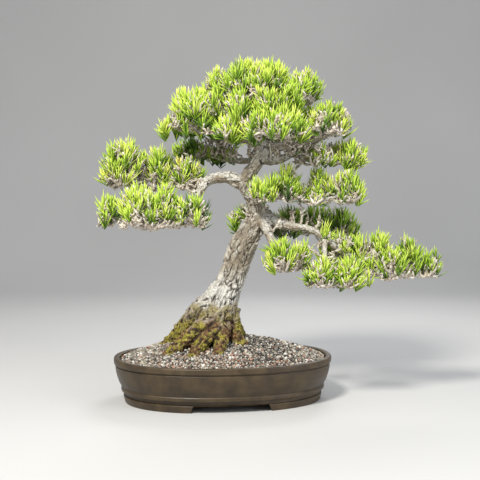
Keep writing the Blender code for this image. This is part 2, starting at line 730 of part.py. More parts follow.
def make_tree(parent):
    """The trunk with its roots, then the branches on it, then the foliage, each clear of those before."""
    trunk_room = grown(make_trunk(parent), TRUNK_GAP)
    rooms = [trunk_room]
    made = [(make_branch, item) for item in BRANCHES.items()]
    made += [(make_pad, item) for item in FOLIAGE.items()]
    for make, (name, shapes) in made:
        obj, own_rooms = make(name, shapes, parent)
        carve(obj, rooms)
        rooms += own_rooms
    return trunk_room


def centre_on_origin(root):
    """Moves the whole object so that the middle of its box is over the origin, to the millimetre."""
    bpy.context.view_layer.update()
    points = [
        obj.matrix_world @ vert.co
        for obj in bpy.data.objects
        if obj.type == "MESH" and not obj.hide_render
        for vert in obj.data.vertices
    ]
    for axis in (0, 1):
        low = min(p[axis] for p in points)
        high = max(p[axis] for p in points)
        root.location[axis] = -round((low + high) / 2 / MM) * MM


def main():
    clear_scene()
    bonsai = empty("bonsai")
    tree = empty("tree", bonsai)
    tree.rotation_euler.z = TREE_TURN
    trunk_room = make_tree(tree)

    make_pot(bonsai)
    screen_rooms = []
    for name, side in (("left", -1), ("right", 1)):
        make_screen("drainage_screen_" + name, side * DRAIN_X, bonsai)
        make_clip("screen_clip_" + name, side * DRAIN_X, bonsai)
        half = SCREEN_CELLS * SCREEN_CELL / 2 + GAP
        top = FLOOR_Z + SCREEN_THICKNESS + 2 * CLIP_RADIUS + 4 * GAP
        room = box(side * DRAIN_X, 0, FLOOR_Z - 1.0, top, half, half)
        screen_rooms.append(cutter_from("screen_room", room, bonsai))
    wire = make_anchor_wire(bonsai)

    soil = make_soil(bonsai)
    carve(soil, [*screen_rooms, trunk_room, grown(wire, WALL_GAP)])
    carve(make_gravel(bonsai), [trunk_room])
    centre_on_origin(bonsai)


main()
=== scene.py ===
"""Looks of a pine bonsai in an oval stoneware pot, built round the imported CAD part.

The pot, the wood, the needles and the gravel are made again in finer detail in the places that the CAD
holds for them. Tables are in millimetres: the pot's in its own frame, the tree's in a frame that has the
pot's middle as its origin and is turned a little against the pot, with the viewing side towards -Y.
"""

import itertools
import math

import bmesh
import bpy
import numpy as np
from mathutils import Matrix, Vector, noise
from mathutils.bvhtree import BVHTree
from mathutils.kdtree import KDTree


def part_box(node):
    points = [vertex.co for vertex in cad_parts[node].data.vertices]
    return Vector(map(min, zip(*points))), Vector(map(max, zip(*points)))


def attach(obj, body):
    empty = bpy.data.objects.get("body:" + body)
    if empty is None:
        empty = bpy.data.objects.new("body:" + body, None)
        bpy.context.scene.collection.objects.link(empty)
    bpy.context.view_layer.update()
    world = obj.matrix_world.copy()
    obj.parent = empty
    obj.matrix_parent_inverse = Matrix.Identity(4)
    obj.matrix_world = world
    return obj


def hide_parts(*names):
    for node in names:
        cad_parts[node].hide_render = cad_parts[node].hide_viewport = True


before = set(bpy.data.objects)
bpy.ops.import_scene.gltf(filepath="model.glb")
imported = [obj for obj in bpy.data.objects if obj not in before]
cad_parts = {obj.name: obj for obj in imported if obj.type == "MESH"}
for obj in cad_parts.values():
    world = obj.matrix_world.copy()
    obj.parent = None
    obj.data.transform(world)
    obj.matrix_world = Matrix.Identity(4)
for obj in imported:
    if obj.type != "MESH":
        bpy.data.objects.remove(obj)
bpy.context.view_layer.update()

MM = 0.001
POT_LOW, POT_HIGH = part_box("pot")
POT_X = round((POT_LOW.x + POT_HIGH.x) / 2, 4)

# Pot
POT_HALF_LENGTH = 185.0
POT_HALF_WIDTH = 133.0
POT_HEIGHT = 74.0
FOOT_HEIGHT = 11.0
FLOOR_THICKNESS = 10.0
OVAL_POWER = 2.2
POT_SIDES = 216
EDGE_ROUNDING = 1.1
NOTCH_HALF_TOP = 61.0
NOTCH_HALF_BOTTOM = 67.0
NOTCH_RELIEF = 0.4
NOTCH_INNER = 80.0
CUT_MARGIN = 3.0
DRAIN_X = 80.0
DRAIN_RADIUS = 12.0
WIRE_HOLES = ((-128.0, 12.0), (52.0, 40.0))
WIRE_HOLE_RADIUS = 2.5
HOLE_SIDES = 40
HOLE_TURN = 0.03
SHARP_ABOVE = math.radians(38.0)
WALL_INSET = 10.0
SOIL_EDGE = 66.0
SURFACE_EDGE = 71.0
SURFACE_RISE = 32.0
SURFACE_TILT = 0.12

# Gravel
GRAIN_PITCH = 3.7
GRAIN_SMALL = 1.5
GRAIN_LARGE = 3.4
GRAIN_RARITY = 1.6
GRAIN_JITTER = 1.1
GRAIN_OFF_WALL = 0.3
GRAIN_OFF_WOOD = 0.5
BED_DEPTH = 2.2
BED_LOW = SOIL_EDGE + 0.4
BED_GAP = 0.5
BED_RINGS = 60
BED_SIDES = 180
BED_HEART = 0.02
BED_LUMP = 0.9
BED_LUMP_SIZE = 3.0

# Tree
TREE_TURN = math.radians(-8.0)
TRUNK_VOXEL = 1.25
BRANCH_VOXEL = 1.15
WOOD_SIDES = 14

# Bark: how the plates follow the radius, and the heights between which each kind of skin gives way
PLATE_RADIUS = 16.0
PLATE_SIZES = (0.35, 1.25)
LINE_SHIFT = 7.3
CRACK_GAP = (0.02, 0.2)
DEPTH_SHARE = 0.16
ROOTS_END = (150.0, 172.0)
MOSS_THINS = (116.0, 150.0)
WHITE_STARTS = (152.0, 166.0)
WHITE_ENDS = (196.0, 222.0)
PALE_TOP = (380.0, 425.0)

# Shoots: a way is how much each points up, out from the pad and at random
SHOOT_SPACING = 12.3
LOWEST_SHOOT = 0.38
BARE_ABOVE = 0.03
BARE_ON_TOP = 0.16
BARE_SPACING = 9.0
PATCH_SIZE = 17.0
AGE_PATCH_SIZE = 24.0
STEEP = 0.5
LEAST_UPWARD = -0.1
TRIES_PER_SHOOT = 8
SHOOT_WAY = (0.95, 0.55, 0.15)
BARE_WAY = (0.6, 0.9, 0.32)
BARE_SHARE = 0.7
BARE_REACH = 0.62
LIMB_SHOOT_SHARE = 0.2
LIMB_SHOOT_RADIUS = 6.2
LIMB_SHOOT_REACH = 45.0
STUBS_PER_FORK = 4
BARE_TWIGS = 520
THICKET_LOW = 395.0
THICKET_HIGH = 500.0

# Where shoots fill the gaps between the crown's pads: the corners of a box, and an ellipsoid in it
CROWN_LOW = (-60.0, -85.0, 470.0)
CROWN_HIGH = (165.0, 80.0, 575.0)
CROWN_MIDDLE = np.array((54.0, 0.0, 470.0))
CROWN_RADII = np.array((122.0, 92.0, 106.0))
CROWN_TRIES = 3000
CROWN_BARE_ABOVE = -0.08
CROWN_PATCH_SIZE = 24.0
CROWN_HEART = 0.25
CROWN_CLEAR = 11.0
CROWN_SPACING = 15.0

# Needles and twigs. A needle's rings are (share of its length, share of its width).
STEM = 12.0
NEEDLE = 25.0
NEEDLE_WIDTH = 2.3
NEEDLE_RINGS = ((0.0, 0.42), (0.62, 0.5))
NEEDLE_DROP = 0.86
NEEDLES_PER_SHOOT = 14
LEAN_AT_FOOT = 46.0
LEAN_LOST = 38.0
GOLDEN_ANGLE = 2.39996
GOLDEN_SHARE = 0.035
DARK_SHARE = 0.06
FORK_SPACING = 24.0
FORK_DROP = 8.0
THICKEST_TWIG = 3.6

# Studio, in metres
FLOOR_HALF = 4.0
FLOOR_FAR = 2.6
FLOOR_UP = 2.2
FLOOR_BEND = 0.9
FLOOR_GAP = 0.0002

FLOOR_Z = FOOT_HEIGHT + FLOOR_THICKNESS
POT_PROFILE = (
    (38.0, FLOOR_Z),
    (26.0, FLOOR_Z + 3.0),
    (17.0, 36.0),
    (12.0, 54.0),
    (WALL_INSET, SOIL_EDGE),
    (9.5, 72.5),
    (8.0, POT_HEIGHT),
    (1.5, POT_HEIGHT),
    (0.0, 72.5),
    (0.0, 65.0),
    (1.0, 64.0),
    (3.4, 63.4),
    (3.4, 62.2),
    (2.2, 61.4),
    (3.0, 53.0),
    (5.0, 44.0),
    (8.4, 34.0),
    (13.4, 26.0),
    (12.0, 25.0),
    (12.0, 19.6),
    (13.4, 18.6),
    (19.0, 17.6),
    (19.0, 12.4),
    (16.0, 11.2),
    (18.3, 0.0),
    (33.0, 0.0),
    (36.0, FOOT_HEIGHT),
)

# Trunk and surface roots: (x, y, z, radius) along each
TRUNK_LINE = (
    (-30, -5, 60, 34), (-28, -5, 90, 37), (-20, -5, 120, 35), (-8, -4, 150, 33), (-2, -3, 171, 30),
    (6, -2, 188, 26), (14, -1, 205, 24), (20, 1, 222, 23.5), (25, 3, 238, 23.5), (31, 6, 254, 24),
    (41, 9, 273, 23), (51, 11, 291, 20), (57, 12, 310, 17.5), (56, 10, 331, 17), (47, 6, 348, 15),
    (38, 3, 362, 13.5), (40, -1, 378, 12), (54, -4, 394, 11.5), (66, -6, 415, 11.5), (69, -6, 438, 10),
    (63, -4, 465, 8), (58, -2, 492, 6.5), (56, 0, 515, 5), (55, 2, 536, 3.2),
)
ROOT_LINES = (
    ((-2, 0, 178, 26), (-12, 0, 164, 26), (-36, 2, 151, 22), (-54, 4, 130, 18), (-74, 6, 110, 14),
     (-92, 7, 95, 10), (-112, 9, 80, 6)),
    ((-4, -18, 152, 16), (-30, -33, 130, 14), (-56, -44, 110, 12), (-80, -50, 92, 9), (-98, -58, 76, 5)),
    ((-4, -20, 132, 16), (-24, -40, 112, 15), (-40, -54, 96, 12), (-50, -70, 80, 7)),
    ((4, -20, 128, 13), (-2, -40, 108, 12), (-6, -56, 92, 9), (-4, -72, 76, 5)),
    ((14, -2, 152, 15), (15, -8, 130, 14), (19, -13, 112, 13), (28, -18, 98, 10), (46, -26, 82, 6)),
    ((10, 10, 140, 16), (20, 27, 114, 13), (32, 42, 98, 9), (48, 56, 82, 5)),
    ((-8, 14, 142, 18), (-14, 40, 114, 14), (-18, 58, 97, 9), (-20, 74, 82, 5)),
    ((-20, 10, 142, 18), (-46, 30, 117, 15), (-70, 43, 99, 10), (-92, 54, 82, 5)),
)

# Each branch is a list of limbs, the first one starting in the trunk and the others on the branch
BRANCHES = {
    "left_branch": (
        ((40, 3, 362, 13), (20, 4, 372, 12.5), (5, 5, 376, 11), (-15, 6, 374, 9.5), (-34, 6, 368, 8),
         (-57, 18, 369, 6.5), (-100, 28, 372, 5), (-140, 32, 373, 4), (-184, 28, 378, 2.4)),
        ((-28, 5, 369, 8), (-42, -12, 347, 7.2), (-58, -28, 320, 6.5), (-85, -40, 306, 5.8),
         (-119, -47, 303, 5), (-160, -50, 305, 4), (-194, -48, 314, 2.4)),
        ((-57, 18, 369, 5), (-54, 38, 372, 3.8), (-68, 58, 376, 2.4)),
        ((-110, 29, 372, 4.4), (-128, 46, 375, 3.2), (-160, 52, 379, 2.2)),
        ((-78, -38, 308, 4.6), (-62, -46, 305, 3.4), (-40, -46, 308, 2.2)),
        ((-112, -46, 303, 4.6), (-116, -64, 303, 3.4), (-134, -82, 306, 2.2)),
    ),
    "right_middle_branch": (
        ((56, 8, 335, 12), (76, 0, 342, 8.5), (96, -8, 345, 6.5), (120, -15, 345, 5.5),
         (138, -20, 336, 5), (161, -22, 333, 4.5), (184, -22, 341, 4), (222, -18, 347, 2.4)),
        ((80, -2, 343, 5), (68, -24, 344, 3.6), (54, -38, 348, 2.2)),
        ((161, -22, 333, 4), (164, -6, 342, 3), (158, 6, 351, 2.2)),
    ),
    "right_back_branch": (
        ((58, 12, 322, 11), (76, 32, 314, 8), (96, 50, 303, 6.5), (126, 62, 291, 5.2),
         (165, 74, 285, 4.4), (210, 70, 286, 2.4)),
        ((140, 66, 288, 4.4), (142, 86, 287, 3), (160, 98, 289, 2.2)),
    ),
    "right_low_branch": (
        ((56, 11, 308, 15), (75, 3, 303, 12), (92, -3, 297, 10), (115, -8, 293, 7.6),
         (146, -14, 288, 6.5), (171, -20, 273, 6), (200, -24, 250, 5.4), (235, -25, 230, 5),
         (275, -22, 218, 4.2), (315, -18, 215, 3.4), (352, -15, 218, 2.2)),
        ((60, 6, 303, 12), (69, -5, 297, 10), (76, -20, 282, 8), (84, -32, 262, 6.6),
         (95, -42, 240, 5.4), (112, -50, 229, 4), (134, -42, 229, 2.4)),
        ((171, -20, 272, 5.4), (168, -45, 245, 4.6), (170, -68, 215, 4.2), (188, -78, 205, 3.4),
         (216, -76, 206, 2.2)),
        ((169, -66, 217, 4), (156, -82, 206, 3), (140, -88, 206, 2.2)),
        ((240, -25, 228, 4.6), (256, -40, 219, 3.2), (284, -50, 217, 2.2)),
        ((256, -24, 222, 4.4), (272, -4, 219, 3.2), (296, 12, 221, 2.2)),
        ((200, -24, 250, 4.4), (206, -4, 244, 3.2), (200, 16, 245, 2.2)),
    ),
    "crown_left_branch": (
        ((66, -6, 424, 9.5), (45, -8, 436, 8), (20, -10, 444, 7), (0, -12, 449, 6.2),
         (-22, -10, 452, 5.6), (-52, -8, 453, 4.8), (-88, -8, 463, 2.4)),
        ((24, -10, 443, 5.5), (14, -28, 445, 4), (4, -50, 448, 2.2)),
    ),
    "crown_upper_left_branch": (
        ((60, -3, 474, 7), (38, 4, 485, 5.6), (14, 8, 492, 5), (-10, 8, 491, 4.4), (-40, 5, 487, 3.6),
         (-72, 0, 487, 2.2)),
        ((-6, 8, 491, 4), (-20, 28, 492, 3), (-42, 42, 493, 2.2)),
        ((-6, 8, 491, 4), (-22, -16, 488, 3), (-38, -36, 487, 2.2)),
    ),
    "crown_lower_right_branch": (
        ((64, -5, 407, 9.5), (85, -2, 403, 8), (103, 1, 408, 7), (120, 2, 415, 6.2),
         (138, 1, 408, 5.2), (160, -2, 402, 4.6), (190, -4, 402, 3.8), (236, -8, 407, 2.2)),
        ((152, -1, 403, 4.4), (156, -14, 401, 3.2), (170, -26, 404, 2.2)),
        ((184, -4, 402, 4), (192, 10, 403, 3), (210, 22, 406, 2.2)),
    ),
    "crown_right_branch": (
        ((68, -6, 434, 9), (95, -9, 429, 7), (120, -12, 430, 6.2), (145, -15, 436, 5.6),
         (165, -15, 443, 5), (190, -13, 454, 3.6), (212, -12, 461, 2.2)),
        ((150, -15, 438, 4.6), (158, -34, 449, 3.2), (168, -50, 459, 2.2)),
        ((160, -15, 441, 4.6), (172, 4, 451, 3.2), (182, 26, 461, 2.2)),
    ),
    "crown_front_branch": (
        ((67, -8, 442, 8), (62, -30, 442, 6.4), (60, -55, 443, 5), (56, -84, 448, 2.4)),
        ((62, -36, 442, 5.4), (84, -62, 443, 4.2), (118, -70, 449, 2.2)),
        ((84, -62, 443, 4), (88, -80, 443, 3), (90, -100, 445, 2.2)),
    ),
    "crown_upper_front_branch": (
        ((58, -1, 499, 5), (54, -16, 500, 3.8), (40, -28, 499, 3), (20, -34, 499, 2.2)),
        ((54, -16, 500, 3.6), (66, -30, 498, 3), (82, -40, 498, 2.2)),
    ),
    "crown_upper_right_branch": (
        ((57, -1, 494, 6), (80, 0, 503, 5), (105, 0, 509, 4.4), (130, 2, 514, 3.4), (152, 6, 521, 2.2)),
        ((110, 0, 510, 4), (118, -16, 511, 3), (128, -32, 513, 2.2)),
        ((110, 0, 510, 4), (120, 22, 514, 3), (134, 44, 519, 2.2)),
    ),
    "crown_back_branch": (
        ((68, -4, 444, 8), (66, 20, 444, 6.6), (68, 50, 447, 5.4), (74, 92, 462, 2.6)),
        ((67, 36, 445, 5.2), (36, 58, 445, 4), (0, 74, 453, 2.4)),
        ((68, 48, 447, 5), (104, 66, 445, 4), (146, 76, 449, 2.4)),
    ),
    "back_left_branch": (
        ((64, -4, 404, 8), (46, 24, 404, 6.2), (20, 50, 406, 5.2), (-8, 72, 410, 4.2),
         (-36, 72, 415, 3.2), (-68, 62, 421, 2.2)),
        ((0, 66, 409, 4.2), (-6, 86, 412, 3.2), (-24, 98, 416, 2.2)),
    ),
    "back_shoot": (
        ((54, 12, 322, 5), (44, 28, 310, 3.4), (34, 36, 303, 2.6), (24, 38, 301, 2)),
    ),
}


# Places

POT_MIDDLE = np.array((POT_X, 0.0, 0.0))
TREE_AXES = np.array(
    (
        (math.cos(TREE_TURN), math.sin(TREE_TURN), 0.0),
        (-math.sin(TREE_TURN), math.cos(TREE_TURN), 0.0),
        (0.0, 0.0, 1.0),
    )
)


def pot_to_world(points):
    """Pot-frame millimetres to world metres."""
    return np.asarray(points, float) * MM + POT_MIDDLE


def tree_to_world(points):
    """Tree-frame millimetres to world metres."""
    return pot_to_world(np.asarray(points, float) @ TREE_AXES)


def world_to_tree(points):
    """World metres to tree-frame millimetres."""
    return (np.asarray(points, float) - POT_MIDDLE) / MM @ TREE_AXES.T


# Meshes

TUBE_TIP = 0.6
LEAST_TONE = 0.002


def turns(sides):
    """Evenly spaced angles round a circle."""
    return np.arange(sides) * 2 * math.pi / sides


def mesh_object(name, points, faces, material, smooth=True):
    """An object from points and faces: arrays of faces, one for each number of corners."""
    mesh = bpy.data.meshes.new(name)
    mesh.vertices.add(len(points))
    mesh.vertices.foreach_set("co", np.asarray(points, np.float32).ravel())
    corners = np.concatenate([f.ravel() for f in faces]).astype(np.int32)
    counts = np.concatenate([np.full(len(f), f.shape[1], np.int32) for f in faces])
    starts = np.concatenate([[0], np.cumsum(counts)[:-1]]).astype(np.int32)
    mesh.loops.add(len(corners))
    mesh.loops.foreach_set("vertex_index", corners)
    mesh.polygons.add(len(counts))
    mesh.polygons.foreach_set("loop_start", starts)
    mesh.polygons.foreach_set("use_smooth", np.full(len(counts), smooth))
    mesh.update(calc_edges=True)
    mesh.validate()
    mesh.materials.append(material)
    made = bpy.data.objects.new(name, mesh)
    bpy.context.scene.collection.objects.link(made)
    return made


def add_tones(obj, per_vertex):
    """Gives the object two maps that hold, at each corner, the two numbers its colour is made from."""
    mesh = obj.data
    vertex = np.empty(len(mesh.loops), np.int32)
    mesh.loops.foreach_get("vertex_index", vertex)
    values = np.asarray(per_vertex, np.float32)[vertex].ravel()
    for name in ("tones", "OFBake"):
        mesh.uv_layers.new(name=name, do_init=False).uv.foreach_set("vector", values)


def add_value(obj, name, values):
    """A number at each vertex, for the materials."""
    layer = obj.data.attributes.new(name, "FLOAT", "POINT")
    layer.data.foreach_set("value", np.asarray(values, np.float32))


def points_of(obj, quantity="co"):
    """The mesh's points, or its normals at them."""
    found = np.empty(len(obj.data.vertices) * 3, np.float32)
    obj.data.vertices.foreach_get(quantity, found)
    return found.reshape(-1, 3).astype(float)


def set_points(obj, points):
    obj.data.vertices.foreach_set("co", np.asarray(points, np.float32).ravel())
    obj.data.update()


def apply_modifiers(obj):
    bpy.context.view_layer.update()
    graph = bpy.context.evaluated_depsgraph_get()
    old = obj.data
    obj.data = bpy.data.meshes.new_from_object(obj.evaluated_get(graph))
    obj.modifiers.clear()
    bpy.data.meshes.remove(old)


def finish_piece(obj, slot, *nodes):
    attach(obj, "root")
    if nodes:
        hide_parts(*nodes)


def smooth_line(points, steps):
    """Points with any number of coordinates, on a Catmull-Rom curve through the given ones."""
    line = []
    padded = (points[0], *points, points[-1])
    for a, b, c, d in zip(padded, padded[1:], padded[2:], padded[3:]):
        for i in range(steps):
            t = i / steps
            line.append(
                tuple(
                    0.5 * (2 * q + (r - p) * t + (2 * p - 5 * q + 4 * r - s) * t**2
                           + (3 * q - p - 3 * r + s) * t**3)
                    for p, q, r, s in zip(a, b, c, d)
                )
            )
    line.append(tuple(points[-1]))
    return line


def frames_along(places):
    """Unit vectors along a line and across it, turning as little as they can."""
    ahead = np.gradient(places, axis=0)
    ahead /= np.linalg.norm(ahead, axis=1)[:, None]
    across = np.empty_like(ahead)
    last = np.array(Vector(ahead[0]).orthogonal().normalized())
    for i, a in enumerate(ahead):
        last = last - a * (last @ a)
        last /= np.linalg.norm(last)
        across[i] = last
    return ahead, across, np.cross(ahead, across)


def tube(places, radii, sides):
    """Points, quads and triangles of a tube with blunt ends."""
    ahead, across, beside = frames_along(places)
    angles = turns(sides)
    c, s = np.cos(angles)[None, :, None], np.sin(angles)[None, :, None]
    points = places[:, None] + (across[:, None] * c + beside[:, None] * s) * radii[:, None, None]
    tips = ahead[[0, -1]] * radii[[0, -1], None] * TUBE_TIP
    ends = [places[0] - tips[0], places[-1] + tips[1]]
    count = len(places)
    index = np.arange(count * sides).reshape(count, sides)
    following = np.roll(index, -1, axis=1)
    quads = np.stack([index[:-1], following[:-1], following[1:], index[1:]], -1).reshape(-1, 4)
    first, last = count * sides, count * sides + 1
    tris = np.concatenate(
        [
            np.stack([following[0], index[0], np.full(sides, first)], -1),
            np.stack([index[-1], following[-1], np.full(sides, last)], -1),
        ]
    )
    return np.concatenate([points.reshape(-1, 3), ends]), quads, tris


def joined(parts):
    """Points, quads and triangles of many shapes as one."""
    points, quads, tris, at = [], [], [], 0
    for p, q, t in parts:
        points.append(p)
        quads.append(q + at)
        tris.append(t + at)
        at += len(p)
    return np.concatenate(points), np.concatenate(quads), np.concatenate(tris)


# Materials


class Nodes:
    """A material under construction."""

    def __init__(self, name, roughness, specular=0.5):
        self.material = bpy.data.materials.new(name)
        self.material.use_nodes = True
        self.tree = self.material.node_tree
        self.shader = self.tree.nodes["Principled BSDF"]
        self.shader.inputs["Roughness"].default_value = roughness
        self.shader.inputs["Specular IOR Level"].default_value = specular

    def add(self, kind, **settings):
        made = self.tree.nodes.new(kind)
        for key, value in settings.items():
            setattr(made, key, value)
        return made

    def link(self, source, target):
        self.tree.links.new(source, target)

    def put(self, target, value):
        if isinstance(value, bpy.types.NodeSocket):
            self.link(value, target)
        else:
            target.default_value = value

    def place(self, scale=1.0, stretch=(1.0, 1.0, 1.0)):
        """Object coordinates in millimetres, scaled."""
        coordinates = self.add("ShaderNodeTexCoord")
        mapping = self.add("ShaderNodeMapping")
        self.link(coordinates.outputs["Object"], mapping.inputs["Vector"])
        mapping.inputs["Scale"].default_value = [1000.0 * scale * s for s in stretch]
        return mapping.outputs["Vector"]

    def noise(self, size, detail=4.0, rough=0.55, stretch=(1.0, 1.0, 1.0)):
        """Noise from 0 to 1 whose lumps are about this many millimetres."""
        made = self.add("ShaderNodeTexNoise")
        self.link(self.place(1.0 / size, stretch), made.inputs["Vector"])
        made.inputs["Scale"].default_value = 1.0
        made.inputs["Detail"].default_value = detail
        made.inputs["Roughness"].default_value = rough
        return made.outputs["Fac"]

    def cells(self, size, output):
        """Cells about this many millimetres wide."""
        made = self.add("ShaderNodeTexVoronoi")
        self.link(self.place(1.0 / size), made.inputs["Vector"])
        made.inputs["Scale"].default_value = 1.0
        return made.outputs[output]

    def value(self, name):
        made = self.add("ShaderNodeAttribute", attribute_name=name)
        return made.outputs["Fac"]

    def tone(self):
        made = self.add("ShaderNodeUVMap", uv_map="tones")
        split = self.add("ShaderNodeSeparateXYZ")
        self.link(made.outputs["UV"], split.inputs["Vector"])
        return split.outputs["X"], split.outputs["Y"]

    def span(self, value, low, high, to_low=0.0, to_high=1.0):
        """value from low to high, turned into to_low to to_high and held there beyond."""
        made = self.add("ShaderNodeMapRange")
        self.link(value, made.inputs["Value"])
        keys = "From Min", "From Max", "To Min", "To Max"
        for key, number in zip(keys, (low, high, to_low, to_high)):
            made.inputs[key].default_value = number
        return made.outputs["Result"]

    def maths(self, operation, one, two):
        made = self.add("ShaderNodeMath", operation=operation)
        self.put(made.inputs[0], one)
        self.put(made.inputs[1], two)
        return made.outputs["Value"]

    def ramp(self, value, stops, interpolation="LINEAR"):
        made = self.add("ShaderNodeValToRGB")
        made.color_ramp.interpolation = interpolation
        elements = made.color_ramp.elements
        while len(elements) < len(stops):
            elements.new(0.5)
        for element, (at, colour) in zip(elements, stops):
            element.position = at
            element.color = (*colour, 1.0)
        self.link(value, made.inputs["Fac"])
        return made.outputs["Color"]

    def mix(self, share, one, two, blend="MIX"):
        made = self.add("ShaderNodeMix", data_type="RGBA", blend_type=blend)
        self.put(made.inputs["Factor"], share)
        for socket, value in ((made.inputs[6], one), (made.inputs[7], two)):
            self.put(socket, (*value, 1.0) if isinstance(value, tuple) else value)
        return made.outputs[2]

    def colour(self, value):
        self.link(value, self.shader.inputs["Base Color"])

    def roughness(self, value):
        self.link(value, self.shader.inputs["Roughness"])

    def bump(self, height, millimetres):
        made = self.add("ShaderNodeBump")
        self.link(height, made.inputs["Height"])
        made.inputs["Distance"].default_value = millimetres * MM
        self.link(made.outputs["Normal"], self.shader.inputs["Normal"])


def clouded(m, patches, stops, grit, height):
    """Colours a material by one noise and raises it by a finer one."""
    m.colour(m.ramp(m.noise(*patches), stops))
    m.bump(m.noise(*grit), height)
    return m.material


def clay_material():
    m = Nodes("fired_clay", 0.42)
    cloud = m.noise(26.0, 5.0)
    speck = m.noise(1.6, 2.0)
    base = m.ramp(
        cloud, ((0.3, (0.03, 0.019, 0.009)), (0.5, (0.055, 0.035, 0.015)), (0.72, (0.09, 0.06, 0.026)))
    )
    base = m.mix(m.span(speck, 0.62, 0.75, 0.0, 0.5), base, (0.13, 0.105, 0.07))
    base = m.mix(m.span(speck, 0.38, 0.3, 0.0, 0.6), base, (0.03, 0.02, 0.014))
    m.colour(base)
    m.roughness(m.span(cloud, 0.3, 0.75, 0.34, 0.55))
    m.bump(m.noise(2.4, 4.0), 0.25)
    return m.material


def bark_material(name, plate_low, plate_high):
    """Flaking bark: pale plates, partly painted light; dark cracks, partly painted shade; and moss and rusty
    root skin where the values say so.
    """
    m = Nodes(name, 0.82, 0.25)
    fine = m.noise(3.2, 6.0, 0.65)
    broad = m.noise(17.0, 4.0)
    plate_middle = tuple((a + b) / 2 for a, b in zip(plate_low, plate_high))
    plate = m.ramp(
        m.maths("ADD", m.maths("MULTIPLY", m.value("plate"), 0.55), m.maths("MULTIPLY", fine, 0.5)),
        ((0.2, plate_low), (0.5, plate_middle), (0.8, plate_high)),
    )
    plate = m.mix(m.span(broad, 0.52, 0.72, 0.0, 0.5), plate, (0.23, 0.17, 0.105))
    stains = m.noise(6.0, 5.0, 0.7)
    plate = m.mix(m.span(stains, 0.53, 0.7, 0.0, 0.55), plate, (0.13, 0.1, 0.07))
    white = m.ramp(fine, ((0.3, (0.42, 0.4, 0.34)), (0.65, (0.83, 0.82, 0.77))))
    # Pale plates: partly the bark's own colour, partly painted light on the trunk's front and the branches'
    # tops.
    plate = m.mix(m.value("pale"), plate, white)
    rust = m.ramp(
        fine,
        (
            (0.28, (0.03, 0.017, 0.009)), (0.48, (0.13, 0.07, 0.03)), (0.6, (0.3, 0.17, 0.07)),
            (0.75, (0.52, 0.4, 0.24)),
        ),
    )
    plate = m.mix(m.value("rust"), plate, rust)
    moss = m.ramp(
        m.noise(2.2, 4.0, 0.7),
        (
            (0.28, (0.03, 0.028, 0.008)), (0.44, (0.15, 0.13, 0.022)), (0.56, (0.38, 0.32, 0.05)),
            (0.7, (0.68, 0.6, 0.18)),
        ),
    )
    plate = m.mix(m.value("moss"), plate, moss)
    # Cracks, dips and hollows are darkened: partly the bark's own fissures, partly painted shade.
    crack = m.maths("ADD", m.value("crack"), m.span(fine, 0.35, 0.65, -0.15, 0.15))
    dark = m.ramp(broad, ((0.35, (0.018, 0.011, 0.006)), (0.65, (0.07, 0.048, 0.03))))
    m.colour(m.mix(m.span(crack, 0.25, 1.0), plate, dark))
    m.bump(m.noise(1.3, 5.0, 0.7), 0.55)
    return m.material


def twig_material():
    stops = (
        (0.32, (0.12, 0.08, 0.05)), (0.44, (0.4, 0.33, 0.25)), (0.54, (0.7, 0.64, 0.56)),
        (0.7, (0.9, 0.87, 0.81)),
    )
    return clouded(Nodes("twig_bark", 0.8, 0.25), (5.0, 5.0, 0.7), stops, (1.6, 4.0), 0.5)


def needle_material():
    """Colour by the first number along the needle, darker at the foot as painted shade deep in the tuft, and
    by the second from old and shaded to golden.
    """
    m = Nodes("needle_green", 0.5, 0.3)
    along, age_and_shade = m.tone()
    base = m.ramp(
        age_and_shade,
        (
            (0.0, (0.012, 0.032, 0.008)), (0.25, (0.04, 0.1, 0.012)), (0.5, (0.13, 0.25, 0.018)),
            (0.75, (0.3, 0.42, 0.03)), (1.0, (0.5, 0.44, 0.05)),
        ),
    )
    tip = m.ramp(
        age_and_shade,
        (
            (0.0, (0.05, 0.12, 0.015)), (0.25, (0.22, 0.4, 0.035)), (0.5, (0.58, 0.79, 0.08)),
            (0.75, (0.82, 0.93, 0.18)), (1.0, (0.96, 0.86, 0.26)),
        ),
    )
    # Painted shade: the foot of each needle is darker than its tip.
    m.colour(m.mix(m.span(along, 0.15, 0.85), base, tip))
    return m.material


GRAIN_COLOURS = (
    (0.045, 0.042, 0.04), (0.12, 0.11, 0.1), (0.27, 0.25, 0.22), (0.42, 0.38, 0.31), (0.3, 0.14, 0.085),
    (0.5, 0.3, 0.22), (0.62, 0.56, 0.46), (0.85, 0.83, 0.78),
)


def grain_material():
    """Colour by the first number along the row of grain colours, and brightness by the second."""
    m = Nodes("gravel_grains", 0.78, 0.3)
    kind, light = m.tone()
    steps = len(GRAIN_COLOURS)
    stops = [((i + 0.02) / steps, colour) for i, colour in enumerate(GRAIN_COLOURS)]
    colour = m.ramp(kind, stops, "CONSTANT")
    shade = m.ramp(light, ((0.0, (0.65, 0.65, 0.65)), (1.0, (1.0, 1.0, 1.0))))
    m.colour(m.mix(1.0, colour, shade, "MULTIPLY"))
    m.bump(m.noise(0.9, 3.0), 0.25)
    return m.material


def bed_material():
    m = Nodes("gravel_bed", 0.9, 0.2)
    split = m.add("ShaderNodeSeparateXYZ")
    m.link(m.cells(3.2, "Color"), split.inputs["Vector"])
    stops = ((0.2, (0.03, 0.026, 0.022)), (0.6, (0.1, 0.085, 0.07)), (0.95, (0.24, 0.2, 0.16)))
    m.colour(m.ramp(split.outputs["X"], stops))
    m.bump(m.cells(3.2, "Distance"), 1.2)
    return m.material


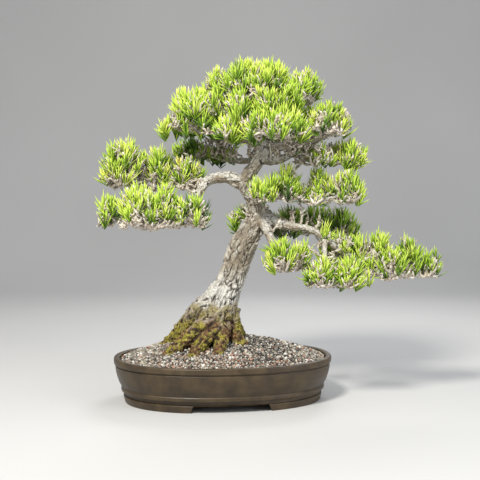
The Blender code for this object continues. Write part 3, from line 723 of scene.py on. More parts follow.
def soil_material():
    stops = ((0.3, (0.035, 0.022, 0.014)), (0.55, (0.13, 0.085, 0.05)), (0.75, (0.28, 0.2, 0.12)))
    return clouded(Nodes("growing_mix", 0.95, 0.2), (4.0, 5.0), stops, (3.0, 4.0), 1.0)


def wire_material():
    m = Nodes("anodised_wire", 0.38)
    m.shader.inputs["Metallic"].default_value = 1.0
    return clouded(m, (9.0, 3.0), ((0.3, (0.3, 0.16, 0.09)), (0.7, (0.5, 0.3, 0.18))), (2.0, 2.0), 0.05)


def netting_material():
    stops = ((0.3, (0.014, 0.014, 0.016)), (0.7, (0.035, 0.035, 0.038)))
    return clouded(Nodes("plastic_netting", 0.55), (6.0, 3.0), stops, (1.2, 2.0), 0.08)


# Pot and gravel

# Shares of the grain colours: everywhere, and what is added at the left, right of the trunk and in front
GRAINS_ALL_OVER = np.array((0.05, 0.12, 0.22, 0.23, 0.03, 0.06, 0.18, 0.11))
GRAINS_LEFT = 1.3 * np.array((0.0, 0.05, 0.22, 0.3, 0.02, 0.05, 0.26, 0.1))
GRAINS_RIGHT = 2.0 * np.array((0.34, 0.36, 0.16, 0.04, 0.02, 0.0, 0.03, 0.05))
GRAINS_IN_FRONT = 1.3 * np.array((0.02, 0.06, 0.1, 0.14, 0.12, 0.28, 0.13, 0.16))


def oval(inset, z, sides, scale=1.0):
    """A ring of points on the pot's outline, drawn in by inset."""
    c, s = np.cos(turns(sides)), np.sin(turns(sides))
    x = np.copysign(np.abs(c) ** (2 / OVAL_POWER), c) * (POT_HALF_LENGTH - inset) * scale
    y = np.copysign(np.abs(s) ** (2 / OVAL_POWER), s) * (POT_HALF_WIDTH - inset) * scale
    return np.stack([x, y, np.full(sides, z, float)], 1)


def rounded(profile):
    """The profile with each corner turned into a short curve."""
    line = [profile[0]]
    for a, b, c in zip(profile, profile[1:], profile[2:]):
        a, b, c = np.array(a), np.array(b), np.array(c)
        before = min(0.5, EDGE_ROUNDING / np.linalg.norm(a - b))
        after = min(0.5, EDGE_ROUNDING / np.linalg.norm(c - b))
        start, end = b + (a - b) * before, b + (c - b) * after
        for t in (0.0, 0.33, 0.67, 1.0):
            line.append(tuple(start * (1 - t) ** 2 + 2 * b * t * (1 - t) + end * t**2))
    line.append(profile[-1])
    return line


def lofted(rings, first, last):
    """Points, quads and triangles of a skin through the rings, closed at both ends."""
    sides = len(rings[0])
    index = np.arange(len(rings) * sides).reshape(len(rings), sides)
    following = np.roll(index, -1, axis=1)
    quads = np.stack([index[:-1], index[1:], following[1:], following[:-1]], -1).reshape(-1, 4)
    hub = len(rings) * sides
    tris = np.concatenate(
        [
            np.stack([following[0], np.full(sides, hub), index[0]], -1),
            np.stack([index[-1], np.full(sides, hub + 1), following[-1]], -1),
        ]
    )
    return np.concatenate([*rings, [first, last]]), quads, tris


def pot_mesh(name, points, quads, tris, material):
    """An object from pot-frame millimetres, with its faces turned outward."""
    faces = [f for f in (quads, tris) if len(f)]
    made = mesh_object(name, pot_to_world(points), faces, material)
    bm = bmesh.new()
    bm.from_mesh(made.data)
    bmesh.ops.recalc_face_normals(bm, faces=bm.faces)
    bm.to_mesh(made.data)
    bm.free()
    return made


def make_pot():
    """The bowl, cut by the gaps in its foot ring and by the holes in its floor."""
    clay = clay_material()
    rings = [oval(inset, z, POT_SIDES) for inset, z in rounded(POT_PROFILE)]
    pot = pot_mesh("stoneware_pot", *lofted(rings, (0, 0, FLOOR_Z), (0, 0, FOOT_HEIGHT)), clay)
    cutters = []
    low, high = -CUT_MARGIN, FOOT_HEIGHT + NOTCH_RELIEF
    box = np.array([(0, 1, 2, 3), (4, 7, 6, 5), (0, 4, 5, 1), (1, 5, 6, 2), (2, 6, 7, 3), (3, 7, 4, 0)])
    for side in (-1, 1):
        corners = []
        for y in (side * NOTCH_INNER, side * (POT_HALF_WIDTH + CUT_MARGIN)):
            corners += [(-NOTCH_HALF_BOTTOM, y, low), (NOTCH_HALF_BOTTOM, y, low)]
            corners += [(NOTCH_HALF_TOP, y, high), (-NOTCH_HALF_TOP, y, high)]
        cutters.append(pot_mesh("notch", corners, box, box[:0, :3], clay))
    holes = [(x, 0.0, DRAIN_RADIUS) for x in (-DRAIN_X, DRAIN_X)]
    holes += [(x, y, WIRE_HOLE_RADIUS) for x, y in WIRE_HOLES]
    low, high = FOOT_HEIGHT - CUT_MARGIN, FLOOR_Z + CUT_MARGIN
    for x, y, radius in holes:
        angles = turns(HOLE_SIDES) + HOLE_TURN
        ring = [x + radius * np.cos(angles), y + radius * np.sin(angles), np.zeros(HOLE_SIDES)]
        ring = np.stack(ring, 1)
        skin = lofted([ring + (0, 0, low), ring + (0, 0, high)], (x, y, low), (x, y, high))
        cutters.append(pot_mesh("hole", *skin, clay))
    for other in cutters:
        cut = pot.modifiers.new("cut", "BOOLEAN")
        cut.object = other
        cut.operation = "DIFFERENCE"
    apply_modifiers(pot)
    for other in cutters:
        bpy.data.objects.remove(other, do_unlink=True)
    pot.data.set_sharp_from_angle(angle=SHARP_ABOVE)
    finish_piece(pot, "clay", "pot")


def surface_height(x, y):
    """Height of the mound of gravel."""
    length, width = POT_HALF_LENGTH - WALL_INSET, POT_HALF_WIDTH - WALL_INSET
    out = (np.abs(x) / length) ** 2 + (np.abs(y) / width) ** 2
    return SURFACE_EDGE + np.maximum(0.0, 1.0 - out) * (SURFACE_RISE + SURFACE_TILT * y)


def inside_wall(x, y, inset):
    length, width = POT_HALF_LENGTH - inset, POT_HALF_WIDTH - inset
    return (np.abs(x) / length) ** OVAL_POWER + (np.abs(y) / width) ** OVAL_POWER < 1.0


def make_bed():
    """The lower grains, as one lumpy skin."""
    inset = WALL_INSET + BED_GAP
    rings = []
    for scale in np.linspace(1.0, BED_HEART, BED_RINGS):
        ring = oval(inset, 0.0, BED_SIDES, scale)
        ring[:, 2] = surface_height(ring[:, 0], ring[:, 1]) - BED_DEPTH
        if scale < 1.0:
            ring[:, 2] += [BED_LUMP * noise.noise(Vector(p) / BED_LUMP_SIZE) for p in ring]
        rings.append(ring)
    rings.insert(0, oval(inset, BED_LOW, BED_SIDES))
    points, quads, tris = lofted(rings, (0, 0, BED_LOW), tuple(rings[-1].mean(0)))
    made = pot_mesh("gravel_bed", points, quads, tris[BED_SIDES:], bed_material())
    finish_piece(made, "gravel")


def grain_zone(x, y):
    """Shares of the grain colours at a place."""
    wobble = 0.35 * noise.noise(Vector((x / 22.0, y / 22.0, 3.0)))
    left = 1.0 / (1.0 + math.exp((x + 95.0) / 18.0 - 3 * wobble))
    dark = math.exp(-(((x - 62.0) / 46.0) ** 2 + ((y + 10.0) / 60.0) ** 2)) * (1.0 + wobble)
    pink = math.exp(-(((x + 25.0) / 75.0) ** 2 + ((y + 95.0) / 38.0) ** 2)) * (1.0 - wobble)
    shares = GRAINS_ALL_OVER + left * GRAINS_LEFT + dark * GRAINS_RIGHT + pink * GRAINS_IN_FRONT
    return shares / shares.sum()


def make_gravel():
    """Loose crushed grains on the mound, thousands of them, each a small faceted stone."""
    rng = np.random.default_rng(11)
    bm = bmesh.new()
    bmesh.ops.create_icosphere(bm, subdivisions=1, radius=1.0)
    shape = np.array([v.co for v in bm.verts])
    faces = np.array([[v.index for v in f.verts] for f in bm.faces])
    bm.free()
    wood = BVHTree.FromObject(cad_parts["trunk"], bpy.context.evaluated_depsgraph_get())
    points, tones = [], []
    step_y = GRAIN_PITCH * math.sqrt(3) / 2
    rows, columns = int(POT_HALF_WIDTH / step_y), int(POT_HALF_LENGTH / GRAIN_PITCH)
    for row, column in itertools.product(range(-rows, rows + 1), range(-columns, columns + 1)):
        x = (column + 0.5 * (row % 2)) * GRAIN_PITCH + rng.normal() * GRAIN_JITTER
        y = row * step_y + rng.normal() * GRAIN_JITTER
        size = GRAIN_SMALL + (GRAIN_LARGE - GRAIN_SMALL) * rng.random() ** GRAIN_RARITY
        if not inside_wall(x, y, WALL_INSET + size + GRAIN_OFF_WALL):
            continue
        z = float(surface_height(x, y)) - size * rng.uniform(0.25, 0.95)
        place = Vector(pot_to_world((x, y, z)))
        near, normal, _, distance = wood.find_nearest(place)
        if (place - near).dot(normal) < 0 or distance < GRAIN_OFF_WOOD * MM:
            continue
        turn = np.array(Matrix.Rotation(rng.uniform(0, 6.28), 3, Vector(rng.normal(size=3))))
        squash = np.array((1.0, rng.uniform(0.7, 1.0), rng.uniform(0.5, 0.85)))
        own = shape * rng.uniform(0.78, 1.15, len(shape))[:, None] * squash @ turn.T * size
        points.append(own + (x, y, z))
        kind = rng.choice(len(GRAIN_COLOURS), p=grain_zone(x, y))
        tone = (kind + 0.3 + 0.4 * rng.random()) / len(GRAIN_COLOURS), rng.random()
        tones.append(np.clip(tone + shape[:, :2] * (0.012, 0.02), LEAST_TONE, 1 - LEAST_TONE))
    every = faces + (np.arange(len(points)) * len(shape))[:, None, None]
    skin = pot_to_world(np.concatenate(points)), [every.reshape(-1, 3)]
    made = mesh_object("gravel_grains", *skin, grain_material(), False)
    add_tones(made, np.concatenate(tones))
    finish_piece(made, "gravel", "gravel_layer")


# Wood


class Lines:
    """Centre lines of the wood, to find the nearest place on one and how bark runs there."""

    def __init__(self, lines):
        columns = [[] for _ in range(7)]
        for i, line in enumerate(lines):
            fine = np.array(smooth_line(line, 8))
            places = fine[:, :3]
            steps = np.linalg.norm(np.diff(places, axis=0), axis=1)
            along = np.concatenate([[0], np.cumsum(steps)])
            values = (places, fine[:, 3], *frames_along(places), along, np.full(len(fine), i))
            for column, value in zip(columns, values):
                column.append(value)
        columns = [np.concatenate(column) for column in columns]
        self.places, self.radii, self.ahead, self.across, self.beside, self.along, self.line_of = columns
        self.tree = KDTree(len(self.places))
        for i, place in enumerate(self.places):
            self.tree.insert(place, i)
        self.tree.balance()

    def nearest(self, points):
        """For each point the sample whose surface is nearest."""
        best = np.empty(len(points), int)
        for i, p in enumerate(points):
            found = self.tree.find_n(p, 10)
            best[i] = min(found, key=lambda item: item[2] - self.radii[item[1]])[1]
        return best


def raw_wood(name, lines, voxel, material):
    """Tubes along the lines, grown into one skin."""
    fine = [np.array(smooth_line(line, 5)) for line in lines]
    points, quads, tris = joined([tube(line[:, :3], line[:, 3], WOOD_SIDES) for line in fine])
    made = mesh_object(name, tree_to_world(points), [quads, tris], material)
    remesh = made.modifiers.new("one_skin", "REMESH")
    remesh.mode = "VOXEL"
    remesh.voxel_size = voxel * MM
    soften = made.modifiers.new("soften", "SMOOTH")
    soften.factor = 0.5
    soften.iterations = 4
    apply_modifiers(made)
    made.data.polygons.foreach_set("use_smooth", np.full(len(made.data.polygons), True))
    return made


def ramp_up(value, low, high):
    """0 below low, 1 above high, and a smooth step between."""
    t = np.clip((value - low) / (high - low), 0.0, 1.0)
    return t * t * (3 - 2 * t)


def lumps(points, size, shift=(0, 0, 0), fade=0.9, octaves=3):
    """Fractal noise at each point, its lumps about this many millimetres."""
    return np.array([noise.fractal(Vector(p) / size + Vector(shift), fade, 2.0, octaves) for p in points])


def weather(made, lines, plate_width, plate_length, depth):
    """Finds plates and cracks in the skin and how far each moves it, in the tree's millimetres."""
    points = world_to_tree(points_of(made))
    found = lines.nearest(points)
    radius = lines.radii[found]
    out = points - lines.places[found]
    x = (out * lines.across[found]).sum(1)
    y = (out * lines.beside[found]).sum(1)
    s = lines.along[found] + (out * lines.ahead[found]).sum(1)
    size = np.clip(radius / PLATE_RADIUS, *PLATE_SIZES)
    gap, fine_gap, plate, grain = np.empty((4, len(points)))
    shift = lines.line_of[found] * LINE_SHIFT
    for i, p in enumerate(points):
        wide, tall = plate_width * size[i], plate_length * size[i]
        warp = noise.noise_vector(Vector(p) / 11.0) * 0.35
        q = Vector((x[i] / wide, y[i] / wide, s[i] / tall + shift[i])) + warp
        distances, cells = noise.voronoi(q)
        gap[i] = distances[1] - distances[0]
        plate[i] = noise.cell(cells[0] * 3.7)
        q = Vector((x[i] / wide * 2.2, y[i] / wide * 2.2, s[i] / tall * 2.6 + shift[i])) + warp * 1.6
        distances, cells = noise.voronoi(q)
        fine_gap[i] = distances[1] - distances[0]
        plate[i] = 0.5 * plate[i] + 0.5 * noise.cell(cells[0] * 3.7)
        grain[i] = noise.fractal(Vector((x[i] / 2.6, y[i] / 2.6, s[i] / 7.0 + shift[i])), 0.7, 2.1, 4)
    lump = lumps(points, 15.0)
    open_here = ramp_up(lump, -0.45, 0.35)
    # Cracks are sunk into the skin and darkened in colour: partly the bark's own fissures, partly painted
    # shade.
    crack = (1.0 - ramp_up(gap, *CRACK_GAP)) * (0.35 + 0.65 * open_here)
    crack = np.maximum(crack, 0.55 * (1.0 - ramp_up(fine_gap, *CRACK_GAP)))
    amount = np.minimum(depth, DEPTH_SHARE * radius)
    return {
        "points": points, "normals": points_of(made, "normal") @ TREE_AXES.T, "radius": radius,
        "crack": crack, "plate": plate, "lump": lump,
        "move": -crack * amount + (plate - 0.4) * amount * 0.9 + grain * amount * 0.4,
    }


def hollows(made, points, normals, rounds):
    """How far each point lies below the skin round it, in the units of points."""
    mesh = made.data
    ends = np.empty(len(mesh.edges) * 2, np.int32)
    mesh.edges.foreach_get("vertices", ends)
    one, two = ends[0::2], ends[1::2]
    count = np.maximum(np.bincount(ends, minlength=len(points)), 1)
    soft = points
    for _ in range(rounds):
        columns = []
        for k in range(3):
            total = np.bincount(one, soft[two, k], len(points))
            columns.append((total + np.bincount(two, soft[one, k], len(points))) / count)
        soft = np.stack(columns, 1)
    return ((soft - points) * normals).sum(1)


def write_values(made, found, pale, rust, moss):
    """Gives the bark material its numbers."""
    count = len(found["points"])
    values = (found["crack"], np.clip(found["plate"], 0, 1), pale, rust, moss)
    for name, value in zip(("crack", "plate", "pale", "rust", "moss"), values):
        add_value(made, name, np.broadcast_to(value, count))


def make_trunk():
    """The trunk and its surface roots: mossy and hollowed below, the hollows and dips darkened as painted
    shade, white plates above, partly painted light and kept to the front, then grey bark.
    """
    lines = (TRUNK_LINE, *ROOT_LINES)
    bark = bark_material("trunk_bark", (0.25, 0.21, 0.155), (0.72, 0.68, 0.59))
    made = raw_wood("trunk_and_roots", lines, TRUNK_VOXEL, bark)
    found = weather(made, Lines(lines), 9.0, 30.0, 3.0)
    points, lump, normals = found["points"], found["lump"], found["normals"]
    z, y = points[:, 2], points[:, 1]
    low = 1.0 - ramp_up(z + 12 * lump, *ROOTS_END)
    coarse = lumps(points, 7.0, fade=0.8, octaves=4)
    sunk = hollows(made, points, normals, 40)
    move = found["move"] * (1 - 0.35 * low) + low * (2.6 * coarse + 1.4 * lump)
    move -= np.clip(sunk, -1.0, 3.0) * low
    set_points(made, tree_to_world(points + normals * move[:, None]))
    pale = ramp_up(z + 9 * lump, *WHITE_STARTS) * (1 - ramp_up(z + 14 * lump, *WHITE_ENDS))
    # Partly painted light: the white plates are kept to the front of the trunk, the -Y side.
    pale *= ramp_up(-y + 12 * lump, -14.0, 6.0) * 0.95
    pale = np.maximum(pale, 0.35 * ramp_up(lump, 0.05, 0.4) * (1 - low))
    pale = np.maximum(pale, 0.75 * ramp_up(z + 20 * lump, *PALE_TOP))
    patches = lumps(points, 18.0, (5, 9, 2))
    bare_skin = ramp_up(z + 18 * lump, *MOSS_THINS)
    moss = low * ramp_up(patches + 0.4 * coarse, -0.24, 0.18) * (1 - 0.45 * bare_skin)
    rust = low * (1 - 0.4 * moss) * (1 - 0.55 * bare_skin)
    pale = np.maximum(pale, 0.5 * bare_skin * low)
    # Painted shade: the sunk dips of the roots and the hollows below the skin are darkened along with the
    # cracks.
    found["crack"] = found["crack"] * (1 - 0.3 * low) + low * ramp_up(-coarse, 0.12, 0.55)
    found["crack"] = np.clip(found["crack"] + ramp_up(sunk, 0.15, 1.7), 0, 1)
    write_values(made, found, pale, rust, moss)
    finish_piece(made, "bark", "trunk")


def make_branches():
    bark = bark_material("branch_bark", (0.32, 0.27, 0.2), (0.82, 0.78, 0.7))
    for name, limbs in BRANCHES.items():
        made = raw_wood(name.replace("branch", "limbs"), limbs, BRANCH_VOXEL, bark)
        if made.name == name:
            made.name = name + "_wood"
        found = weather(made, Lines(limbs), 9.0, 22.0, 1.5)
        lump, normals = found["lump"], found["normals"]
        move = found["move"] + lump * 1.3 * np.clip(found["radius"] / 8.0, 0.3, 1.0)
        set_points(made, tree_to_world(found["points"] + normals * move[:, None]))
        # Painted light: the bark is paler where it faces up.
        pale = ramp_up(normals[:, 2] + 0.8 * lump, -0.4, 0.6) * 0.85
        write_values(made, found, pale, 0.25 * ramp_up(-lump, 0.0, 0.4), 0.0)
        finish_piece(made, "bark", name)


# Shoots


# Painted shade: how much darker the needles of the back and inner pads are made.
PAD_SHADE = {
    "right_back_foliage": -0.2, "back_left_foliage": -0.24, "back_shoot_foliage": -0.1,
    "crown_back_foliage": -0.1, "right_low_inner_foliage": -0.03,
}


def surface_shoots(node, rng):
    """Places on a pad's CAD solid where shoots come through, and the way each points, in tree millimetres.

    Returns those with needles, the pad's lowest height, and the bare ones.
    """
    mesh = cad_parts[node].data
    mesh.calc_loop_triangles()
    points = world_to_tree(points_of(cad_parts[node]))
    tris = np.array([t.vertices[:] for t in mesh.loop_triangles])
    a, b, c = points[tris[:, 0]], points[tris[:, 1]], points[tris[:, 2]]
    cross = np.cross(b - a, c - a)
    area = np.linalg.norm(cross, axis=1) / 2
    normal = cross / np.maximum(2 * area, 1e-9)[:, None]
    wanted = int(area.sum() / SHOOT_SPACING**2 * TRIES_PER_SHOOT)
    pick = rng.choice(len(tris), wanted, p=area / area.sum())
    r1, r2 = np.sqrt(rng.random(wanted))[:, None], rng.random(wanted)[:, None]
    spots = (1 - r1) * a[pick] + (r1 * (1 - r2)) * b[pick] + (r1 * r2) * c[pick]
    low, high = points[:, 2].min(), points[:, 2].max()
    lowest = low + LOWEST_SHOOT * (high - low)
    found = {False: ([], []), True: ([], [])}
    for p, n in zip(spots, normal[pick]):
        if n[2] < LEAST_UPWARD:
            continue
        limit = BARE_ABOVE if n[2] < STEEP else BARE_ON_TOP
        bare = bool(p[2] < lowest or noise.noise(Vector(p) / PATCH_SIZE) > limit)
        if bare and rng.random() > BARE_SHARE:
            continue
        kept, ways = found[bare]
        spacing = BARE_SPACING if bare else SHOOT_SPACING
        if kept and np.min(((np.array(kept) - p) ** 2).sum(1)) < spacing**2:
            continue
        up, out, stray = BARE_WAY if bare else SHOOT_WAY
        kept.append(p)
        ways.append(unit(np.array((0.0, 0.0, up)) + out * n + rng.normal(size=3) * stray))
    bare_ways = np.array(found[True][1])
    bare = np.array(found[True][0]) + bare_ways * NEEDLE * BARE_REACH, bare_ways
    return np.array(found[False][0]), np.array(found[False][1]), low, bare


def limb_shoots(limbs, pads, rng):
    """Short shoots on the limbs themselves, each given to the pad that it is nearest to."""
    extra = {node: ([], []) for node in pads}
    for place, radius in zip(limbs.places, limbs.radii):
        if radius > LIMB_SHOOT_RADIUS or rng.random() > LIMB_SHOOT_SHARE:
            continue
        way = unit(np.array((0.0, 0.0, 0.8)) + rng.normal(size=3) * 0.5)
        if way[2] < 0.25:
            continue
        spot = place + way * (NEEDLE * NEEDLE_DROP + STEM * 0.6)
        reach = {node: np.linalg.norm(pad - spot, axis=1).min() for node, pad in pads.items()}
        node = min(reach, key=reach.get)
        if reach[node] < LIMB_SHOOT_REACH:
            extra[node][0].append(spot)
            extra[node][1].append(way)
    return extra


def crown_filling(pads, rng):
    """Shoots in the gaps between the crown's pads, each given to the pad that it is nearest to."""
    extra = {node: ([], []) for node in pads}
    crown = {node: spots for node, spots in pads.items() if node.startswith("crown_")}
    every = np.concatenate(list(crown.values()))
    owner = [node for node, spots in crown.items() for _ in spots]
    kept = np.empty((0, 3))
    for spot in rng.uniform(CROWN_LOW, CROWN_HIGH, (CROWN_TRIES, 3)):
        out = (spot - CROWN_MIDDLE) / CROWN_RADII
        distances = np.linalg.norm(every - spot, axis=1)
        nearest = int(np.argmin(distances))
        if not CROWN_HEART < out @ out < 1.0 or distances[nearest] < CROWN_CLEAR:
            continue
        if len(kept) and np.linalg.norm(kept - spot, axis=1).min() < CROWN_SPACING:
            continue
        if noise.noise(Vector(spot) / CROWN_PATCH_SIZE) > CROWN_BARE_ABOVE:
            continue
        kept = np.concatenate([kept, [spot]])
        way = unit(np.array((0.0, 0.0, 0.9)) + 0.5 * out + rng.normal(size=3) * 0.2)
        extra[owner[nearest]][0].append(spot)
        extra[owner[nearest]][1].append(way)
    return extra


def needle_arrays(bases, ways, bends, lengths, widths, ages_and_shade):
    """Points, quads, triangles and tones of many three-sided tapered needles."""
    count = len(bases)
    other = np.where(np.abs(ways[:, 2:3]) < 0.9, np.array((0.0, 0.0, 1.0)), np.array((1.0, 0.0, 0.0)))
    one = np.cross(ways, other)
    one /= np.linalg.norm(one, axis=1)[:, None]
    two = np.cross(ways, one)
    points = np.empty((count, 7, 3))
    tones = np.empty((count, 7, 2))
    for ring, (share, wide) in enumerate(NEEDLE_RINGS):
        middle = bases + ways * (lengths * share)[:, None] + bends * (lengths * share**2)[:, None]
        along = np.full(count, 0.03 + 0.94 * share)
        for k in range(3):
            angle = 2 * math.pi * k / 3
            offset = (one * math.cos(angle) + two * math.sin(angle)) * (widths * wide)[:, None]
            points[:, ring * 3 + k] = middle + offset
            tones[:, ring * 3 + k] = np.stack([along, ages_and_shade + (k - 1) * 0.006], 1)
    points[:, 6] = bases + (ways + bends) * lengths[:, None]
    tones[:, 6] = np.stack([np.full(count, 0.97), ages_and_shade], 1)
    start = (np.arange(count) * 7)[:, None, None]
    quads = start + np.array([(0, 1, 4, 3), (1, 2, 5, 4), (2, 0, 3, 5)])
    tris = start + np.array([(3, 4, 6), (4, 5, 6), (5, 3, 6)])
    tones = np.clip(tones.reshape(-1, 2), LEAST_TONE, 1 - LEAST_TONE)
    return points.reshape(-1, 3), quads.reshape(-1, 4), tris.reshape(-1, 3), tones


def unit(vectors):
    return vectors / np.maximum(np.linalg.norm(vectors, axis=-1, keepdims=True), 1e-9)


def make_needles(name, node, spots, ways, ages_and_shade, rng, material):
    """A tuft at each spot, whose lower needles lean out and whose upper ones stand up."""
    each = NEEDLES_PER_SHOOT
    columns = [[] for _ in range(6)]
    for spot, way, age_and_shade in zip(spots, ways, ages_and_shade):
        length = NEEDLE * rng.uniform(0.74, 1.2)
        top = spot - way * length * NEEDLE_DROP
        one = unit(np.cross(way, (0.3, 0.5, 0.81)))
        two = np.cross(way, one)
        level = (np.arange(each) + rng.random(each)) / each
        lean = np.radians(LEAN_AT_FOOT - LEAN_LOST * level + rng.normal(size=each) * 7.0)
        angle = np.arange(each) * GOLDEN_ANGLE + rng.random() * 6.28 + rng.normal(size=each) * 0.25
        side = one * np.cos(angle)[:, None] + two * np.sin(angle)[:, None]
        values = (
            top - way * (STEM * (1 - level))[:, None] + side * 0.5,
            unit(way * np.cos(lean)[:, None] + side * np.sin(lean)[:, None]),
            way * 0.1 - side * 0.06 + rng.normal(size=(each, 3)) * 0.025,
            length * rng.uniform(0.68, 1.06, each),
            NEEDLE_WIDTH * rng.uniform(0.85, 1.15, each),
            age_and_shade + rng.normal(size=each) * 0.075 + 0.08 * (level - 0.5),
        )
        for column, value in zip(columns, values):
            column.append(value)
    *shapes, tones = [np.concatenate(column) for column in columns]
    points, quads, tris, tones = needle_arrays(*shapes, np.clip(tones, 0.02, 0.98))
    made = mesh_object(name, tree_to_world(points), [quads, tris], material)
    add_tones(made, tones)
    finish_piece(made, "needles", node)


def knobbly(start, end, radius_start, radius_end, rng, steps, wander):
    """A short crooked twig as places and radii."""
    t = np.linspace(0, 1, steps + 1)
    places = start * (1 - t)[:, None] + end * t[:, None]
    places += np.sin(t * math.pi)[:, None] * rng.normal(size=3) * wander
    places[1:-1] += rng.normal(size=(steps - 1, 3)) * wander * 0.3
    radii = radius_start + (radius_end - radius_start) * t
    return places, radii * rng.uniform(0.82, 1.24, len(radii))


def hang_forks(places, roots):
    """For each fork the fork that it hangs on, or -1 for its root; and the order from the roots outward."""
    cost = np.linalg.norm(places - roots, axis=1)
    parent = np.full(len(places), -1)
    left = set(range(len(places)))
    order = []
    while left:
        k = min(left, key=lambda i: cost[i])
        left.discard(k)
        order.append(k)
        for i in left:
            distance = np.linalg.norm(places[i] - places[k]) * 1.05 + 2.0
            if distance < cost[i]:
                cost[i], parent[i] = distance, k
    return parent, order


def make_twigs(name, spots, ways, low, limbs, rng, material):
    """Twigs from the branches to every shoot: shoots gather in forks, and forks hang on the nearest wood."""
    bases = spots - ways * (NEEDLE * NEEDLE_DROP + STEM)
    bases[:, 2] = np.maximum(bases[:, 2], low + rng.uniform(2.0, 12.0, len(bases)))
    forks = []
    for i in rng.permutation(len(bases)):
        if all(np.linalg.norm(bases[i] - bases[j]) > FORK_SPACING for j in forks):
            forks.append(i)
    owner = np.array([int(np.argmin(np.linalg.norm(bases[forks] - b, axis=1))) for b in bases])
    places = []
    for k in range(len(forks)):
        members = owner == k
        middle = bases[members].mean(0) - ways[members].mean(0) * FORK_DROP + rng.normal(size=3) * 2.0
        middle[2] = max(middle[2], low + rng.uniform(0.0, 8.0))
        places.append(middle)
    places = np.array(places)
    roots = limbs.places[limbs.nearest(places)]
    parent, order = hang_forks(places, roots)
    load = np.bincount(owner, minlength=len(places)).astype(float)
    for k in reversed(order):
        if parent[k] >= 0:
            load[parent[k]] += load[k]
    thick = np.minimum(1.5 * load**0.3, THICKEST_TWIG)
    parts = []
    for k, (place, thickness) in enumerate(zip(places, thick)):
        start, first = roots[k], thickness * 1.15
        if parent[k] >= 0:
            start, first = places[parent[k]], min(thick[parent[k]], thickness * 1.2)
        parts.append(tube(*knobbly(start, place, first, thickness, rng, 5, 2.4), 7))
        for _ in range(STUBS_PER_FORK):
            way = unit(rng.normal(size=3) * (1.0, 1.0, 0.55))
            end = place + way * rng.uniform(8.0, 19.0)
            end[2] = max(end[2], low + 3.0)
            parts.append(tube(*knobbly(place, end, min(thickness, 2.2), 1.1, rng, 4, 2.2), 5))
    for base, way, k in zip(bases, ways, owner):
        line, radii = knobbly(places[k], base, min(thick[k], 2.6), 1.9, rng, 3, 2.0)
        line = np.concatenate([line, [base + way * STEM * 0.5, base + way * STEM]])
        parts.append(tube(line, np.concatenate([radii, [1.8, 1.1]]), 5))
    points, quads, tris = joined(parts)
    made = mesh_object(name, tree_to_world(points), [quads, tris], material)
    finish_piece(made, "bark")


def make_bare_twigs(limbs, material):
    """Crooked forking twigs without needles, all along the thinner limbs."""
    rng = np.random.default_rng(23)
    thin = np.flatnonzero((limbs.radii > 2.4) & (limbs.radii < 9.0))
    height = limbs.places[thin, 2]
    likely = np.where((height > THICKET_LOW) & (height < THICKET_HIGH), 2.5, 1.0)
    parts = []
    for i in rng.choice(thin, BARE_TWIGS, p=likely / likely.sum()):
        side = rng.normal(size=3)
        side[2] = abs(side[2])
        side -= limbs.ahead[i] * (side @ limbs.ahead[i])
        way = unit(unit(side) + np.array((0.0, 0.0, 0.55)))
        start = limbs.places[i] + way * limbs.radii[i] * 0.4
        end = start + way * rng.uniform(12.0, 32.0)
        line, radii = knobbly(start, end, 2.3, 1.3, rng, 5, 3.4)
        parts.append(tube(line, radii, 5))
        for k in (2, 3, 4):
            tip = line[k] + unit(way + rng.normal(size=3) * (0.8, 0.8, 0.4)) * rng.uniform(5.0, 15.0)
            parts.append(tube(*knobbly(line[k], tip, 1.7, 1.0, rng, 3, 2.0), 5))
    points, quads, tris = joined(parts)
    made = mesh_object("bare_twigs", tree_to_world(points), [quads, tris], material)
    finish_piece(made, "bark")


def make_foliage():
    """Needles and twigs for every pad, then the bare twigs."""
    rng = np.random.default_rng(7)
    green, brown = needle_material(), twig_material()
    limbs = Lines([limb for branch in BRANCHES.values() for limb in branch])
    nodes = [node for node in sorted(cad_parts) if node.endswith("_foliage")]
    pads = {node: surface_shoots(node, rng) for node in nodes}
    shoots = {node: pad[0] for node, pad in pads.items()}
    extra, filling = limb_shoots(limbs, shoots, rng), crown_filling(shoots, rng)
    for node, (spots, ways, low, bare) in pads.items():
        for more_spots, more_ways in (extra[node], filling[node]):
            if more_spots:
                spots = np.concatenate([spots, more_spots])
                ways = np.concatenate([ways, more_ways])
        high = spots[:, 2].max()
        height = (spots[:, 2] - low) / max(high - low, 1.0)
        patch = np.array([noise.noise(Vector(p) / AGE_PATCH_SIZE) for p in spots])
        # The second tone holds age and painted shade: darker on the back and inner pads and lower in each
        # pad, with patches and golden and dark shoots at random.
        ages_and_shade = 0.5 + PAD_SHADE.get(node, 0.0) + 0.16 * (height - 0.5) + 0.28 * patch
        ages_and_shade += rng.normal(size=len(spots)) * 0.07
        ages_and_shade[rng.random(len(spots)) < GOLDEN_SHARE] += 0.3
        ages_and_shade[rng.random(len(spots)) < DARK_SHARE] -= 0.25
        pad = node.replace("_foliage", "")
        make_needles(pad + "_needles", node, spots, ways, ages_and_shade, rng, green)
        spots, ways = np.concatenate([spots, bare[0]]), np.concatenate([ways, bare[1]])
        make_twigs(pad + "_twigs", spots, ways, low, limbs, rng, brown)
    make_bare_twigs(limbs, brown)


# Everything else


def keep_node(node, material):
    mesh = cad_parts[node].data
    mesh.materials.clear()
    mesh.materials.append(material)


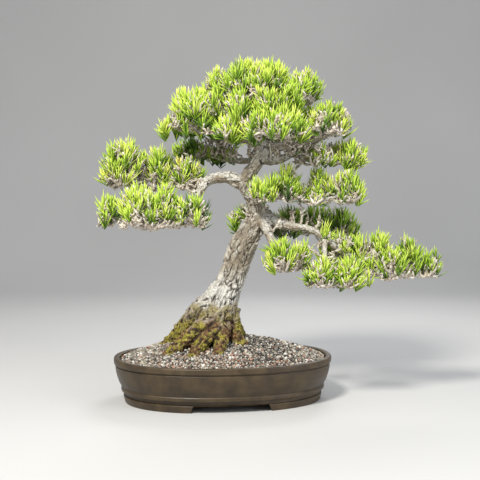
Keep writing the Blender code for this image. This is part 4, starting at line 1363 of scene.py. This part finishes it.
def make_floor():
    """A pale floor that bends up into a wall behind the tree."""
    m = Nodes("studio_floor", 0.85, 0.2)
    m.colour(m.ramp(m.noise(900.0, 2.0), ((0.3, (0.58, 0.58, 0.575)), (0.7, (0.62, 0.62, 0.615)))))
    profile = [(-FLOOR_HALF, 0.0), (FLOOR_FAR - FLOOR_BEND, 0.0)]
    for i in range(1, 13):
        angle = math.pi / 2 * i / 12
        y = FLOOR_FAR - FLOOR_BEND * (1 - math.sin(angle))
        profile.append((y, FLOOR_BEND * (1 - math.cos(angle))))
    profile.append((FLOOR_FAR, FLOOR_UP))
    points = [(x, y, z) for y, z in profile for x in (-FLOOR_HALF, FLOOR_HALF)]
    faces = [(2 * i, 2 * i + 1, 2 * i + 3, 2 * i + 2) for i in range(len(profile) - 1)]
    floor = mesh_object("studio_floor", points, [np.array(faces)], m.material)
    floor.rotation_euler.z = TREE_TURN
    floor.location = (POT_X, 0.0, -FLOOR_GAP)


def add_light(name, where, aim, size, watts, colour=(1.0, 1.0, 1.0)):
    light = bpy.data.lights.new(name, "AREA")
    light.shape = "DISK"
    light.size = size
    light.energy = watts
    light.color = colour
    made = bpy.data.objects.new(name, light)
    made.location = where
    made.rotation_euler = (Vector(aim) - Vector(where)).to_track_quat("-Z", "Y").to_euler()
    bpy.context.scene.collection.objects.link(made)


def make_lights():
    world = bpy.data.worlds.new("studio")
    world.use_nodes = True
    background = world.node_tree.nodes["Background"]
    background.inputs["Color"].default_value = (0.93, 0.95, 1.0, 1.0)
    background.inputs["Strength"].default_value = 0.42
    bpy.context.scene.world = world
    aim = (POT_X + 0.03, 0.0, 0.3)
    add_light("key", (-0.75, -1.15, 1.55), aim, 0.4, 40.0, (1.0, 0.97, 0.9))
    add_light("fill", (1.25, -1.1, 0.8), aim, 1.2, 12.0, (0.93, 0.96, 1.0))
    add_light("back", (0.5, 1.2, 1.3), aim, 0.8, 10.0)


CAMERA_PLACE = (28.7, -1500.0, 338.0)
CAMERA_DROP = 0.0456
CAMERA_LENS = 66.3


def make_camera():
    data = bpy.data.cameras.new("camera")
    data.lens = CAMERA_LENS
    data.sensor_width = 36.0
    data.dof.use_dof = False
    made = bpy.data.objects.new("camera", data)
    made.location = tree_to_world(CAMERA_PLACE)
    made.rotation_euler = (math.pi / 2 - CAMERA_DROP, 0.0, TREE_TURN)
    bpy.context.scene.collection.objects.link(made)
    bpy.context.scene.camera = made


def main():
    make_pot()
    make_bed()
    make_gravel()
    make_trunk()
    make_branches()
    make_foliage()
    keep_node("soil", soil_material())
    wire, netting = wire_material(), netting_material()
    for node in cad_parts:
        if node.startswith("screen_clip") or node == "anchor_wire":
            keep_node(node, wire)
        if node.startswith("drainage_screen"):
            keep_node(node, netting)
    make_floor()
    make_lights()
    make_camera()
    bpy.context.scene.view_settings.view_transform = "Standard"


main()
